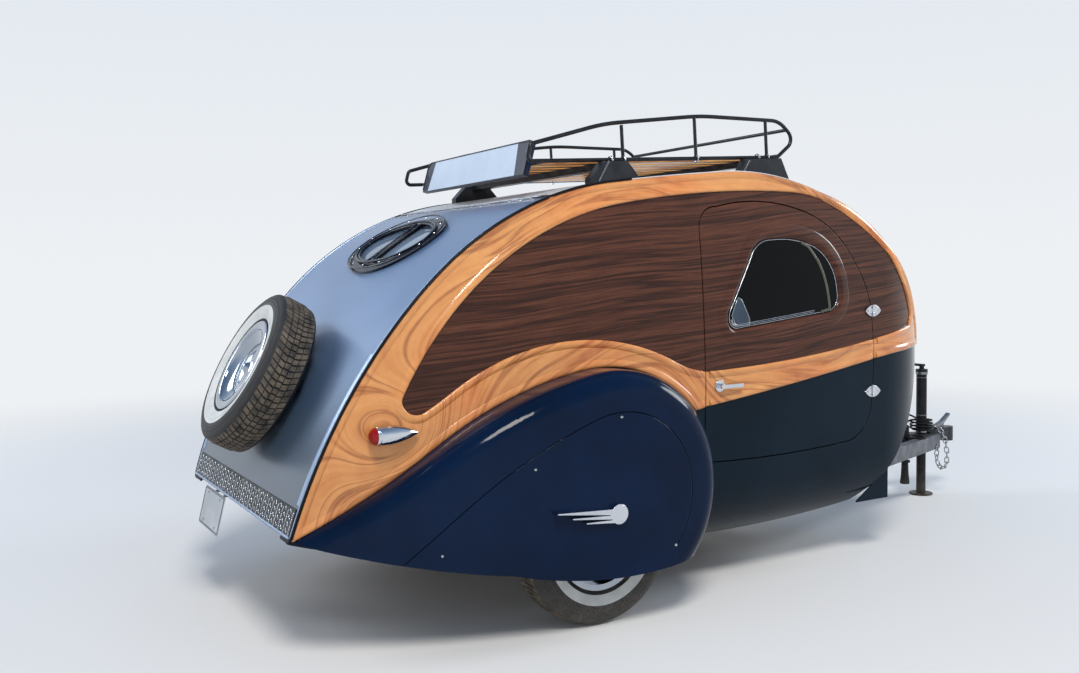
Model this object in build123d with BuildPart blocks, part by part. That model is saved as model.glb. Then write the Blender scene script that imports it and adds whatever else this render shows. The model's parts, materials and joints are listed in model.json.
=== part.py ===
from build123d import *
from math import acos, asin, atan2, cos, degrees, pi, radians, sin, tan
import os

os.makedirs("parts", exist_ok=True)

# A teardrop trailer, parked on its two wheels and its tongue jack, in millimetres.
# Stations run from the axle: X forward, Y to the left, Z up from the ground.
# The finished pieces are moved at the end, so that the origin is on the ground
# under the middle of the whole trailer. Right-hand pieces are made first and the
# left-hand ones are their mirror images.

# Driving dimensions
tyre_r = 305.0
axle_z = tyre_r
wheel_y = 760.0
body_half_width = 770.0
widest_station = 843.0
wall = 30.0
skin = 4.0
seal_gap = 2.0
wood_proud = 3.0
door_gap = 5.0
coupler_nose_x = 2945.0
beam_top_z = 335.0
beam_height = 76.0
beam_width = 51.0
tongue_angle = 18.4

# Plan of the body: a side arc, a corner arc and a nose arc, tangent to each other
side_plan_r = 22000.0
corner_plan_r = 520.0
nose_plan_r = 1800.0
corner_station = 1560.0
rear_limit = -1250.0

# Upright section of the wall: a wide arc above and a tuck-under below
section_r = 5200.0
section_mid_z = 850.0
tuck_r = 350.0
tuck_top_z = 450.0
tuck_bottom_z = 190.0
section_top_z = 1760.0

side_centre = (widest_station, side_plan_r - body_half_width)
corner_turn = asin((corner_station - widest_station) / side_plan_r)
corner_centre = (
    side_centre[0] + (side_plan_r - corner_plan_r) * sin(corner_turn),
    side_centre[1] - (side_plan_r - corner_plan_r) * cos(corner_turn),
)
nose_turn = acos(-corner_centre[1] / (nose_plan_r - corner_plan_r))
nose_centre = (corner_centre[0] - (nose_plan_r - corner_plan_r) * sin(nose_turn), 0.0)
rear_turn = asin((rear_limit - widest_station) / side_plan_r)
tuck_turn = asin((tuck_top_z - section_mid_z) / section_r)

finished = {}


def keep(name, part):
    part.label = name
    finished[name] = part


def keep_both(name, part):
    with BuildPart() as both:
        add(part)
        mirror(part, about=Plane.XZ)
    keep(name, both.part)


def keep_pair(name, part):
    keep("right_" + name, part)
    keep("left_" + name, mirror(part, about=Plane.XZ))


# Section of the wall at an inset from its outer face, as radius from the plan's centre
def section_point(plan_r, inset, z):
    if z >= tuck_top_z:
        reach = section_r - inset
        return (plan_r - section_r + (reach**2 - (z - section_mid_z) ** 2) ** 0.5, z)
    mid_r = plan_r - section_r + (section_r - tuck_r) * cos(tuck_turn)
    mid_z = section_mid_z + (section_r - tuck_r) * sin(tuck_turn)
    reach = tuck_r - inset
    drop = max(-1.0, (z - mid_z) / reach)
    return (mid_r + reach * (1 - drop**2) ** 0.5, z)


def section_face(plan_r, outer, inner, plane):
    z_mid_high = (tuck_top_z + section_top_z) / 2
    z_mid_low = (tuck_bottom_z + tuck_top_z) / 2
    o = [section_point(plan_r, outer, z) for z in (section_top_z, z_mid_high, tuck_top_z)]
    o += [section_point(plan_r, outer, z) for z in (z_mid_low, tuck_bottom_z)]
    i = [section_point(plan_r, inner, z) for z in (section_top_z, z_mid_high, tuck_top_z)]
    i += [section_point(plan_r, inner, z) for z in (z_mid_low, tuck_bottom_z)]
    with BuildSketch(plane) as face:
        with BuildLine():
            ThreePointArc(o[0], o[1], o[2])
            ThreePointArc(o[2], o[3], o[4])
            Line(o[4], i[4])
            ThreePointArc(i[4], i[3], i[2])
            ThreePointArc(i[2], i[1], i[0])
            Line(i[0], o[0])
        make_face()
    return face.sketch


# The right-hand half of a shell that follows the body, between two insets
def belt(outer, inner):
    # centre, radius, first turn, last turn
    bends = (
        (side_centre, side_plan_r, rear_turn, corner_turn),
        (corner_centre, corner_plan_r, corner_turn, nose_turn),
        (nose_centre, nose_plan_r, nose_turn, pi / 2),
    )
    with BuildPart() as shell:
        for centre, plan_r, first, last in bends:
            out = (sin(first), -cos(first), 0)
            plane = Plane(origin=(*centre, 0), x_dir=out, z_dir=(out[1], -out[0], 0))
            spindle = Axis((*centre, 0), (0, 0, 1))
            face = section_face(plan_r, outer, inner, plane)
            revolve(face, axis=spindle, revolution_arc=degrees(last - first))
    return shell.part


# Outlines in side view. A row of a run is radius and turn; no radius is a straight length
def run(start, heading, rows):
    at, way = start, heading
    for radius, turn in rows:
        tangent = (cos(radians(way)), sin(radians(way)))
        if radius is None:
            edge = Line(at, (at[0] + turn * tangent[0], at[1] + turn * tangent[1]))
        else:
            edge = JernArc(start=at, tangent=tangent, radius=radius, arc_size=turn)
            way += turn
        at = (edge @ 1).X, (edge @ 1).Y
    return at


# A row is the point midway along an arc and its end; without a midway point it is straight
def arcs(start, rows):
    at = start
    for via_x, via_z, end_x, end_z in rows:
        end = (end_x, end_z)
        if via_x is None:
            Line(at, end)
        else:
            ThreePointArc(at, (via_x, via_z), end)
        at = end
    return at


# Hull: roof line, nose and underside
hull_start = (-1091.0, 418.0)
hull_heading = 74.1
hull_rows = (
    (1886.0, -29.5),
    (1291.0, -37.7),
    (13996.0, -2.1),
    (1284.0, -45.0),
    (900.0, -27.7),
    (250.0, -35.0),
    (1000.0, -38.0),
)
underside_rows = (
    (1000.0, 205.0, 290.0, 226.0),
    (-420.0, 262.0, -1091.0, 418.0),
)
underside_front = (1425.0, 250.0)


def hull(inset):
    way = radians(hull_heading)
    start = (hull_start[0] + inset * sin(way), hull_start[1] - inset * cos(way))
    rows = [(radius - inset, turn) for radius, turn in hull_rows]
    with BuildSketch(Plane.XZ) as face:
        with BuildLine():
            nose = run(start, hull_heading, rows)
            Line(nose, underside_front)
            arcs(underside_front, underside_rows)
            if inset:
                Line(hull_start, start)
        make_face()
    return face.sketch


# Zones of the side view
fender_start = (-1086.0, 426.0)
fender_heading = 22.3
with BuildSketch(Plane.XZ) as walnut_zone:
    with BuildLine():
        top_front = run((-714, 860), 63.7, ((1225, -53.9), (4345, -11.0), (817, -68.0)))
        low_front = run((-624, 814), 28.7, ((929, 6.0), (900, -62.7), (355, 29.3), (6488, 10.3)))
        ThreePointArc((-714, 860), (-690, 812), (-624, 814))
        Line(top_front, low_front)
    make_face()

with BuildSketch(Plane.XZ) as navy_zone:
    with BuildLine():
        fender_front = run(fender_start, fender_heading, ((2578, 12.2), (1436, -24.9), (556, -58.7)))
        Line(fender_front, (541, 747))
        belt_front = arcs((541, 747), ((940.0, 800.0, 1450.0, 878.0), (1640.0, 902.0, 2000.0, 915.0)))
        Polyline(belt_front, (2300, 0), (-1400, 0), (-1400, 297), fender_start)
    make_face()

door_start = (532.0, 550.0)
door_rows = (
    (None, None, 532.0, 1428.0),
    (553.0, 1487.0, 620.0, 1515.0),
    (850.0, 1540.0, 1071.0, 1508.0),
    (1245.0, 1425.0, 1371.0, 1283.0),
    (1428.0, 1180.0, 1452.0, 1084.0),
    (1461.0, 890.0, 1451.0, 686.0),
    (1415.0, 590.0, 1300.0, 534.0),
    (930.0, 518.0, 566.0, 524.0),
    (540.0, 530.0, 532.0, 550.0),
)
window_start = (710.0, 1026.0)
window_rows = (
    (None, None, 1190.0, 1076.0),
    (1256.0, 1106.0, 1272.0, 1180.0),
    (1232.0, 1302.0, 1113.0, 1385.0),
    (1020.0, 1404.0, 900.0, 1404.0),
    (832.0, 1388.0, 787.0, 1348.0),
    (None, None, 662.0, 1130.0),
    (645.0, 1092.0, 647.0, 1062.0),
    (666.0, 1034.0, 710.0, 1026.0),
)


def outline(start, rows):
    with BuildSketch(Plane.XZ) as face:
        with BuildLine():
            arcs(start, rows)
        make_face()
    return face.sketch


door_zone = outline(door_start, door_rows)
window_zone = outline(window_start, window_rows)
with BuildSketch(Plane.XZ) as door_opening:
    add(door_zone)
    offset(amount=door_gap)

wall_shell = belt(0, wall)
wood_shell = belt(-wood_proud, wall)
beyond_wall = belt(-600, 0)
beyond_wood = belt(-600, -wood_proud)
beyond_core = belt(-600, wall)
beyond_hatch_core = belt(-600, wall + door_gap)
under_skin = hull(skin + seal_gap)
side_reach = 1000.0

# Side walls and door in three bands
bands = ("walnut_panel", "wood_frame", "lower_panel")
wheel_arch_r = 345.0


def cut_to_band(name):
    if name == "walnut_panel":
        extrude(walnut_zone.sketch, amount=side_reach, mode=Mode.INTERSECT)
    elif name == "lower_panel":
        extrude(navy_zone.sketch, amount=side_reach, mode=Mode.INTERSECT)
    else:
        extrude(walnut_zone.sketch, amount=side_reach, mode=Mode.SUBTRACT)
        extrude(navy_zone.sketch, amount=side_reach, mode=Mode.SUBTRACT)


for band in bands:
    band_shell = wood_shell if band == "wood_frame" else wall_shell
    with BuildPart() as panel:
        add(band_shell)
        extrude(under_skin, amount=side_reach, mode=Mode.INTERSECT)
        cut_to_band(band)
        extrude(door_opening.sketch, amount=side_reach, mode=Mode.SUBTRACT)
        if band == "lower_panel":
            with BuildSketch(Plane.XZ) as arch:
                with Locations((0, axle_z)):
                    Circle(wheel_arch_r)
                with Locations((0, 0)):
                    Rectangle(2 * wheel_arch_r, 2 * axle_z)
            extrude(arch.sketch, amount=side_reach, mode=Mode.SUBTRACT)
    keep_both(band + "s", panel.part)
    with BuildPart() as leaf:
        add(band_shell)
        extrude(door_zone, amount=side_reach, mode=Mode.INTERSECT)
        cut_to_band(band)
        extrude(window_zone, amount=side_reach, mode=Mode.SUBTRACT)
    keep_pair("door_" + band, leaf.part)

# Window: a frame in the opening and a pane inside it
frame_width = 16.0
pane_thickness = 5.0
with BuildPart() as window_frame:
    add(belt(-4, wall - 4))
    extrude(window_zone, amount=side_reach, mode=Mode.INTERSECT)
    with BuildSketch(Plane.XZ) as sight:
        add(window_zone)
        offset(amount=-frame_width)
    extrude(sight.sketch, amount=side_reach, mode=Mode.SUBTRACT)
keep_pair("window_frame", window_frame.part)
with BuildPart() as pane:
    add(belt(8, 8 + pane_thickness))
    extrude(sight.sketch, amount=side_reach, mode=Mode.INTERSECT)
keep_pair("window_pane", pane.part)

# Roof, nose and hatch: a thin skin over the wall edges and a core between the walls
hinge_x, hinge_z = -122.0, 1547.8
belt_z = 905.0
core_depth = wall


def zone(points):
    with BuildSketch(Plane.XZ) as face:
        with BuildLine():
            Polyline(*points, close=True)
        make_face()
    return face.sketch


hinge_slope = radians(19.3)
hinge_down = (hinge_x + 500 * sin(hinge_slope), hinge_z - 500 * cos(hinge_slope))
hinge_up = (hinge_x - 300 * sin(hinge_slope), hinge_z + 300 * cos(hinge_slope))
hatch_zone = zone((hinge_up, hinge_down, (-400, 1000), (-900, 433), (-1500, 433), (-1500, 1900)))
roof_zone = zone((hinge_up, hinge_down, (900, belt_z), (2400, belt_z), (2400, 1900), (-300, 1900)))
nose_zone = zone(((900, belt_z), (2400, belt_z), (2400, 120), (1240, 120)))

hull_outer = hull(0)
hull_skin = hull(skin)
hull_core = hull(skin + core_depth)


# An upright oval with a bar down its middle, standing on the hatch's curve
porthole_plane = Plane(origin=(-420, 0, 1397), x_dir=(0, -1, 0), z_dir=(-0.562, 0, 0.827))
porthole_rim = (345.0, 190.0)
porthole_sight = (292.0, 138.0)
bar_width = 34.0


def porthole_prism(radii):
    with BuildPart() as prism:
        with BuildSketch(porthole_plane) as oval:
            Ellipse(*radii)
        extrude(oval.sketch, amount=150, both=True)
    return prism.part


def shell_panel(piece_zone, core_cut):
    with BuildPart() as lip:
        extrude(hull_outer, amount=side_reach, both=True)
        extrude(hull_skin, amount=side_reach, both=True, mode=Mode.SUBTRACT)
        extrude(piece_zone, amount=side_reach, both=True, mode=Mode.INTERSECT)
        add(beyond_wall, mode=Mode.SUBTRACT)
        add(mirror(beyond_wall, about=Plane.XZ), mode=Mode.SUBTRACT)
    with BuildPart() as core:
        extrude(hull_skin, amount=side_reach, both=True)
        extrude(hull_core, amount=side_reach, both=True, mode=Mode.SUBTRACT)
        extrude(piece_zone, amount=side_reach, both=True, mode=Mode.INTERSECT)
        add(core_cut, mode=Mode.SUBTRACT)
        add(mirror(core_cut, about=Plane.XZ), mode=Mode.SUBTRACT)
    with BuildPart() as panel:
        add(lip.part)
        add(core.part)
    return panel.part


# Frame stations, needed here for the notches that the tongue's beams pass through
rail_y = 560.0
rail_rear_x = -640.0
apex_x, apex_y = 2780.0, 30.0
rail_front_x = apex_x - (rail_y - apex_y) / tan(radians(tongue_angle))
rail_mid_z = beam_top_z - beam_height / 2


def beam_pair(grow):
    length = (rail_y - apex_y) / sin(radians(tongue_angle)) + 80
    with BuildPart() as beams:
        for side in (-1, 1):
            turn = radians(-side * tongue_angle)
            plane = Plane(origin=(apex_x, side * apex_y, rail_mid_z), x_dir=(cos(turn), sin(turn), 0))
            with BuildSketch(plane) as beam:
                with Locations((20 - length / 2, 0)):
                    Rectangle(length, beam_width + grow)
            extrude(beam.sketch, amount=(beam_height + grow) / 2, both=True)
    return beams.part


keep("roof_skin", shell_panel(roof_zone, beyond_core))
with BuildPart() as nose_panel:
    add(shell_panel(nose_zone, beyond_core))
    add(beam_pair(6), mode=Mode.SUBTRACT)
keep("nose_panel", nose_panel.part)
hatch_gap = 4.0
with BuildPart() as hatch:
    add(shell_panel(hatch_zone, beyond_hatch_core))
    with BuildSketch(Plane.XZ) as hinge_slot:
        with BuildLine():
            Line(hinge_up, hinge_down)
            side = (hatch_gap * cos(hinge_slope), hatch_gap * sin(hinge_slope))
            slot_down = (hinge_down[0] - side[0], hinge_down[1] - side[1])
            slot_up = (hinge_up[0] - side[0], hinge_up[1] - side[1])
            Polyline(hinge_down, slot_down, slot_up, hinge_up)
        make_face()
    extrude(hinge_slot.sketch, amount=side_reach, both=True, mode=Mode.SUBTRACT)
    add(porthole_prism(porthole_sight), mode=Mode.SUBTRACT)
keep("hatch", hatch.part)

# Porthole ring, bar and pane, bent to the hatch
ring_height = 10.0
with BuildPart() as ring:
    extrude(hull(-ring_height), amount=side_reach, both=True)
    extrude(hull_outer, amount=side_reach, both=True, mode=Mode.SUBTRACT)
    add(porthole_prism(porthole_rim), mode=Mode.INTERSECT)
    with BuildPart(mode=Mode.PRIVATE) as sight_hole:
        add(porthole_prism(porthole_sight))
        with Locations(porthole_plane):
            Box(bar_width, 1000, 1000, mode=Mode.SUBTRACT)
    add(sight_hole.part, mode=Mode.SUBTRACT)
keep("porthole_ring", ring.part)
with BuildPart() as porthole_pane:
    extrude(hull(3), amount=side_reach, both=True)
    extrude(hull(8), amount=side_reach, both=True, mode=Mode.SUBTRACT)
    add(porthole_prism(porthole_sight), mode=Mode.INTERSECT)
keep("porthole_pane", porthole_pane.part)

# Tread plate along the foot of the hatch
tread_plate_top = 527.0
tread_plate_thickness = 3.0
with BuildPart() as tread_plate:
    extrude(hull(-tread_plate_thickness), amount=side_reach, both=True)
    extrude(hull_outer, amount=side_reach, both=True, mode=Mode.SUBTRACT)
    with Locations((-1000, 0, (tread_plate_top + 433) / 2)):
        Box(400, 1316, tread_plate_top - 433, mode=Mode.INTERSECT)
keep("tread_plate", tread_plate.part)

# Fender: its own outline, rounded over a curved outer face, hollow, open below
fender_out = 950.0
fender_widest_x = 150.0
fender_plan_r = 3300.0
fender_shoulder = 85.0
fender_wall = 8.0
fender_rows = ((2578.0, 12.2), (1436.0, -24.9), (430.0, -150.0))
fender_bottom_start = (-1200.0, 470.0)
fender_bottom_rows = (
    (-760.0, 333.0, -400.0, 262.0),
    (-60.0, 205.0, 330.0, 222.0),
)


def fender_body(inset, shoulder):
    way = radians(fender_heading)
    start = (fender_start[0] + inset * sin(way), fender_start[1] - inset * cos(way))
    lead = (start[0] - 500 * cos(way), start[1] - 500 * sin(way))
    rows = [(r + inset if turn > 0 else r - inset, turn) for r, turn in fender_rows]
    with BuildPart() as body:
        with BuildSketch(Plane.XZ) as side_face:
            with BuildLine():
                Line(lead, start)
                front = run(start, fender_heading, rows)
                Polyline(front, (front[0], -300), (lead[0], -300), lead)
            make_face()
        extrude(side_face.sketch, amount=side_reach)
        with BuildSketch(Plane.XY.offset(-400)) as plan_face:
            with Locations((fender_widest_x, fender_plan_r - fender_out)):
                Circle(fender_plan_r - inset)
            with Locations((fender_widest_x, fender_plan_r)):
                Rectangle(8000, 2 * fender_plan_r - 1200, mode=Mode.SUBTRACT)
        extrude(plan_face.sketch, amount=2000, mode=Mode.INTERSECT)
        if shoulder:
            rim = [e for e in body.edges() if e.center().Y < -600 and e.center().Z > -250]
            rim = [e for e in rim if abs(e.tangent_at(0.5).Y) < 0.9]
            fillet(rim, radius=shoulder)
    return body.part


fender_outer = fender_body(0, fender_shoulder)
fender_inner = fender_body(fender_wall, fender_shoulder - fender_wall)
with BuildSketch(Plane.XZ) as above_bottom:
    with BuildLine():
        arcs(fender_bottom_start, fender_bottom_rows)
        Polyline((330, 222), (900, 222), (900, 1300), (-1500, 1300), (-1500, 470), fender_bottom_start)
    make_face()
skirt_start = (-900.0, 222.0)
skirt_heading = 39.0
skirt_rows = ((None, 430.0), (1677.0, -19.0), (300.0, -150.0))
skirt_gap = 3.0


def skirt_zone(grow):
    way = radians(skirt_heading)
    start = (skirt_start[0] - grow * sin(way), skirt_start[1] + grow * cos(way))
    rows = [(r, turn) if r is None else (r + grow, turn) for r, turn in skirt_rows]
    with BuildSketch(Plane.XZ) as face:
        with BuildLine():
            end = run(start, skirt_heading, rows)
            Polyline(end, (end[0], -50), (start[0], -50), start)
        make_face()
    return face.sketch


with BuildPart() as fender_shell:
    add(fender_outer)
    add(fender_inner, mode=Mode.SUBTRACT)
    add(beyond_wall, mode=Mode.INTERSECT)
    add(finished["wood_frames"], mode=Mode.SUBTRACT)
    extrude(above_bottom.sketch, amount=side_reach, mode=Mode.INTERSECT)
with BuildPart() as fender:
    add(fender_shell.part)
    extrude(skirt_zone(skirt_gap), amount=side_reach, mode=Mode.SUBTRACT)
keep_both("fenders", fender.part)
with BuildPart() as skirt:
    add(fender_shell.part)
    extrude(skirt_zone(0), amount=side_reach, mode=Mode.INTERSECT)
keep_both("fender_skirts", skirt.part)

# Floor: flat between the axle and the nose, kicked up towards the hatch
floor_z = beam_top_z
floor_thickness = 18.0
kick_x, kick_end_x, kick_end_z = -650.0, -1052.0, 441.0
floor_front_x = 1500.0
tub_half_length = wheel_arch_r + 3
tub_inner_y = 640.0
tub_top_z = axle_z + wheel_arch_r + 3
tub_wall = 6.0
with BuildPart() as floor:
    with BuildSketch(Plane.XZ) as floor_side:
        with BuildLine():
            Polyline(
                (floor_front_x, floor_z),
                (kick_x, floor_z),
                (kick_end_x, kick_end_z),
                (kick_end_x, kick_end_z + floor_thickness),
                (kick_x, floor_z + floor_thickness),
                (floor_front_x, floor_z + floor_thickness),
                close=True,
            )
        make_face()
    extrude(floor_side.sketch, amount=side_reach, both=True)
    add(beyond_core, mode=Mode.SUBTRACT)
    add(mirror(beyond_core, about=Plane.XZ), mode=Mode.SUBTRACT)
    extrude(hull_core, amount=side_reach, both=True, mode=Mode.INTERSECT)
    for side in (-1, 1):
        with Locations((0, side * (tub_inner_y + 200), floor_z)):
            Box(2 * tub_half_length, 400, 100, mode=Mode.SUBTRACT)
keep("floor", floor.part)

# Wheel tubs inside the cabin
with BuildPart() as tub:
    with BuildSketch(Plane.XZ.offset(tub_inner_y)) as tub_outer:
        with Locations((0, axle_z)):
            Circle(tub_half_length)
        with Locations((0, axle_z / 2)):
            Rectangle(2 * tub_half_length, axle_z)
        with Locations((0, 0)):
            Rectangle(2000, 2 * 250.0, mode=Mode.SUBTRACT)
    extrude(tub_outer.sketch, amount=150)
    with BuildSketch(Plane.XZ.offset(tub_inner_y + tub_wall)) as tub_inner:
        with Locations((0, axle_z)):
            Circle(tub_half_length - tub_wall)
        with Locations((0, 0)):
            Rectangle(2 * (tub_half_length - tub_wall), 2 * axle_z)
    extrude(tub_inner.sketch, amount=200, mode=Mode.SUBTRACT)
    with BuildSketch(Plane.XZ.offset(tub_inner_y - 1)) as arm_slot:
        with Locations((60, axle_z - 60)):
            Rectangle(300, 250)
    extrude(arm_slot.sketch, amount=tub_wall + 2, mode=Mode.SUBTRACT)
    add(beyond_core, mode=Mode.SUBTRACT)
keep_both("wheel_tubs", tub.part)

# Chassis: two side rails with cross members, then the A-frame of the tongue
cross_stations = (-600.0, 260.0, rail_front_x - 40)
with BuildPart() as chassis:
    for side in (-1, 1):
        with Locations(((rail_rear_x + rail_front_x) / 2, side * rail_y, rail_mid_z)):
            Box(rail_front_x - rail_rear_x, beam_width, beam_height)
    for station in cross_stations:
        with Locations((station, 0, rail_mid_z)):
            Box(beam_width, 2 * rail_y, beam_height)
keep("chassis", chassis.part)

tongue_cross_x = 1660.0
with BuildPart() as tongue:
    add(beam_pair(0))
    cross_reach = apex_y + (apex_x - tongue_cross_x) * tan(radians(tongue_angle))
    with Locations((tongue_cross_x, 0, rail_mid_z)):
        Box(beam_width, 2 * cross_reach, beam_height)
    with Locations((rail_front_x - 500, 0, rail_mid_z)):
        Box(1000, 2000, 2 * beam_height, mode=Mode.SUBTRACT)
    with Locations((apex_x + 12 + 500, 0, rail_mid_z)):
        Box(1000, 2000, 2 * beam_height, mode=Mode.SUBTRACT)
keep("tongue", tongue.part)

# Axle: a square tube hung from the rails, with a trailing arm and spindle each side
axle_tube_x, axle_tube_z = 130.0, 226.0
axle_tube = 60.0
axle_tube_top = axle_tube_z + axle_tube / 2
rail_under_z = beam_top_z - beam_height
spindle_r = 16.0
arm_y, arm_thickness = 612.0, 22.0
spindle_reach = 26.0
with BuildPart() as axle:
    with Locations((axle_tube_x, 0, axle_tube_z)):
        Box(axle_tube, 2 * (arm_y - arm_thickness / 2), axle_tube)
    for side in (-1, 1):
        with Locations((axle_tube_x, side * rail_y, (axle_tube_top + rail_under_z) / 2)):
            Box(120, 40, rail_under_z - axle_tube_top)
        with BuildPart(mode=Mode.PRIVATE) as arm_solid:
            with BuildSketch(Plane.XZ) as arm_face:
                with Locations(Location((axle_tube_x / 2, (axle_z + axle_tube_z) / 2), -31.3)):
                    SlotCenterToCenter(152.0, 58)
            extrude(arm_face.sketch, amount=arm_thickness / 2, both=True)
        add(arm_solid.part.moved(Location((0, side * arm_y, 0))))
        with BuildPart(mode=Mode.PRIVATE) as spindle:
            with BuildSketch(Plane.XZ.offset(-side * arm_y)) as spindle_face:
                with Locations((0, axle_z)):
                    Circle(spindle_r)
            extrude(spindle_face.sketch, amount=-side * (wheel_y + spindle_reach - arm_y))
        add(spindle.part)
keep("axle", axle.part)

# Wheels. A profile is radius and distance outboard of the tyre's middle plane
bore_clearance = 0.05
rim_rows = (
    (42, -40), (42, 4), (156, 4), (156, -66), (178, -66), (178, -61), (165.7, -61),
    (165.7, 61), (178, 61), (178, 66), (156, 66), (156, 12), (60, 12), (42, 28),
)


def wheel_plane(centre, out, up):
    return Plane(origin=centre, x_dir=up, z_dir=Vector(*up).cross(Vector(*out)))


def turned(plane, face):
    return revolve(plane * face, axis=Axis(plane.origin, plane.y_dir), mode=Mode.PRIVATE)


def closed_profile(rows):
    with BuildSketch() as face:
        with BuildLine():
            Polyline(*rows, close=True)
        make_face()
    return face.sketch


# Half of the tyre's section, from bead to crown
tyre_rows = ((166, 60), (180, 60), (214, 79), (246, 83), (280, 75), (299, 64), (305, 40))


def tyre_profile():
    return closed_profile(tyre_rows + tuple((r, -w) for r, w in reversed(tyre_rows)))


def cap_profile(radius, base, crown, hub_r, hub_end):
    with BuildSketch() as face:
        with BuildLine():
            Polyline((12, crown), (0, crown), (0, hub_end), (hub_r, hub_end), (hub_r, base), (radius, base))
            ThreePointArc((radius, base), (radius * 0.62, base + (crown - base) * 0.72), (12, crown))
        make_face()
    return face.sketch


road_plane = wheel_plane((0, -wheel_y, axle_z), (0, -1, 0), (0, 0, 1))
bore_r = spindle_r + bore_clearance
keep_pair("tyre", turned(road_plane, tyre_profile()))
keep_pair("rim", turned(road_plane, closed_profile(((bore_r, 28), (bore_r, -40)) + rim_rows)))
keep_pair("hub_cap", turned(road_plane, cap_profile(94, 12.2, 46, 61, 28.2)))

# Spare wheel on its post, leaning with the hatch
spare_out = (-0.875, 0, 0.485)
spare_centre = (-989, 0, 914)
spare_plane = wheel_plane(spare_centre, spare_out, (0, 1, 0))
spare_hole_r = 33.0
spare_rows = ((spare_hole_r, 12), (spare_hole_r, 4)) + rim_rows[2:12]
keep("spare_tyre", turned(spare_plane, tyre_profile()))
keep("spare_rim", turned(spare_plane, closed_profile(spare_rows)))
spare_cap_rows = (
    (0, 62), (22, 44), (70, 38), (120, 48), (147, 62), (153, 71), (176, 73), (182, 70),
    (182, 67.5), (176, 68), (155, 67), (150, 60), (120, 45), (70, 34.5), (20, 40), (0, 58),
)
keep("spare_cap", turned(spare_plane, closed_profile(spare_cap_rows)))
with BuildPart() as post:
    add(turned(spare_plane, closed_profile(((0, 4), (64, 4), (64, -4), (27, -4), (27, -200), (0, -200)))))
    add(turned(spare_plane, closed_profile(((0, -80), (60, -92), (60, -260), (0, -260)))))
    extrude(hull_outer, amount=side_reach, both=True, mode=Mode.SUBTRACT)
keep("spare_carrier", post.part)

# Tail lamps: a bullet pod with its lens facing back
lamp_x, lamp_y, lamp_z = -812.0, 737.0, 750.0
with BuildPart() as lamp:
    with BuildSketch(Plane(origin=(lamp_x, -lamp_y, lamp_z), x_dir=(1, 0, 0), z_dir=(0, -1, 0))) as pod:
        with BuildLine():
            Polyline((0, 0), (0, 33))
            ThreePointArc((0, 33), (80, 29), (153, 0))
            Line((153, 0), (0, 0))
        make_face()
    revolve(pod.sketch, axis=Axis((lamp_x, -lamp_y, lamp_z), (1, 0, 0)))
    add(beyond_wood, mode=Mode.INTERSECT)
keep_both("tail_lamps", lamp.part)
with BuildPart() as lens:
    with BuildSketch(Plane(origin=(lamp_x, -lamp_y, lamp_z), x_dir=(1, 0, 0), z_dir=(0, -1, 0))) as glow:
        with BuildLine():
            Polyline((0, 0), (0, 31))
            ThreePointArc((0, 31), (-17, 22), (-24, 0))
            Line((-24, 0), (0, 0))
        make_face()
    revolve(glow.sketch, axis=Axis((lamp_x, -lamp_y, lamp_z), (1, 0, 0)))
    add(beyond_wood, mode=Mode.INTERSECT)
keep_both("lamp_lenses", lens.part)

# Ball and fins on the skirt
ball_x, ball_z, ball_r = -13.0, 433.0, 35.0
# half-width at the ball, tip x, tip z, drop of the root below the ball's middle
fins = ((11.0, -263.0, 464.0, -8.0), (8.0, -205.0, 440.0, 10.0), (6.0, -150.0, 418.0, 24.0))
with BuildPart() as ornament:
    with BuildSketch(Plane.XZ.offset(930)) as badge:
        with Locations((ball_x, ball_z)):
            Circle(ball_r)
        for half, tip_x, tip_z, drop in fins:
            root_z = ball_z - drop
            with BuildLine():
                Polyline(
                    (ball_x, root_z + half), (tip_x, tip_z + 2), (tip_x, tip_z - 2),
                    (ball_x, root_z - half), close=True,
                )
            make_face()
    extrude(badge.sketch, amount=34)
    add(fender_outer, mode=Mode.SUBTRACT)
keep_both("skirt_ornaments", ornament.part)

# Door hinges: each a fixed leaf with two knuckles and a pin, and a moving leaf with one
hinge_pin_x, hinge_pin_y = 1458.0, 768.0
hinge_heights = (1085.0, 737.0)
knuckle_r, pin_r = 7.0, 3.0
leaf_reach, leaf_height = 46.0, 46.0
knuckle_length = 15.0


def leaf_face(side, height):
    with BuildSketch(Plane.XZ.offset(hinge_pin_y - 14)) as face:
        with BuildLine():
            Line((hinge_pin_x, height - 25), (hinge_pin_x, height + 25))
            ThreePointArc(
                (hinge_pin_x, height + 25),
                (hinge_pin_x + side * 28, height + 17),
                (hinge_pin_x + side * leaf_reach, height),
            )
            ThreePointArc(
                (hinge_pin_x + side * leaf_reach, height),
                (hinge_pin_x + side * 28, height - 17),
                (hinge_pin_x, height - 25),
            )
        make_face()
    return face.sketch


def knuckle(height, length, radius):
    with BuildPart() as roll:
        with Locations((hinge_pin_x, -hinge_pin_y, height)):
            Cylinder(radius, length)
    return roll.part


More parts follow.
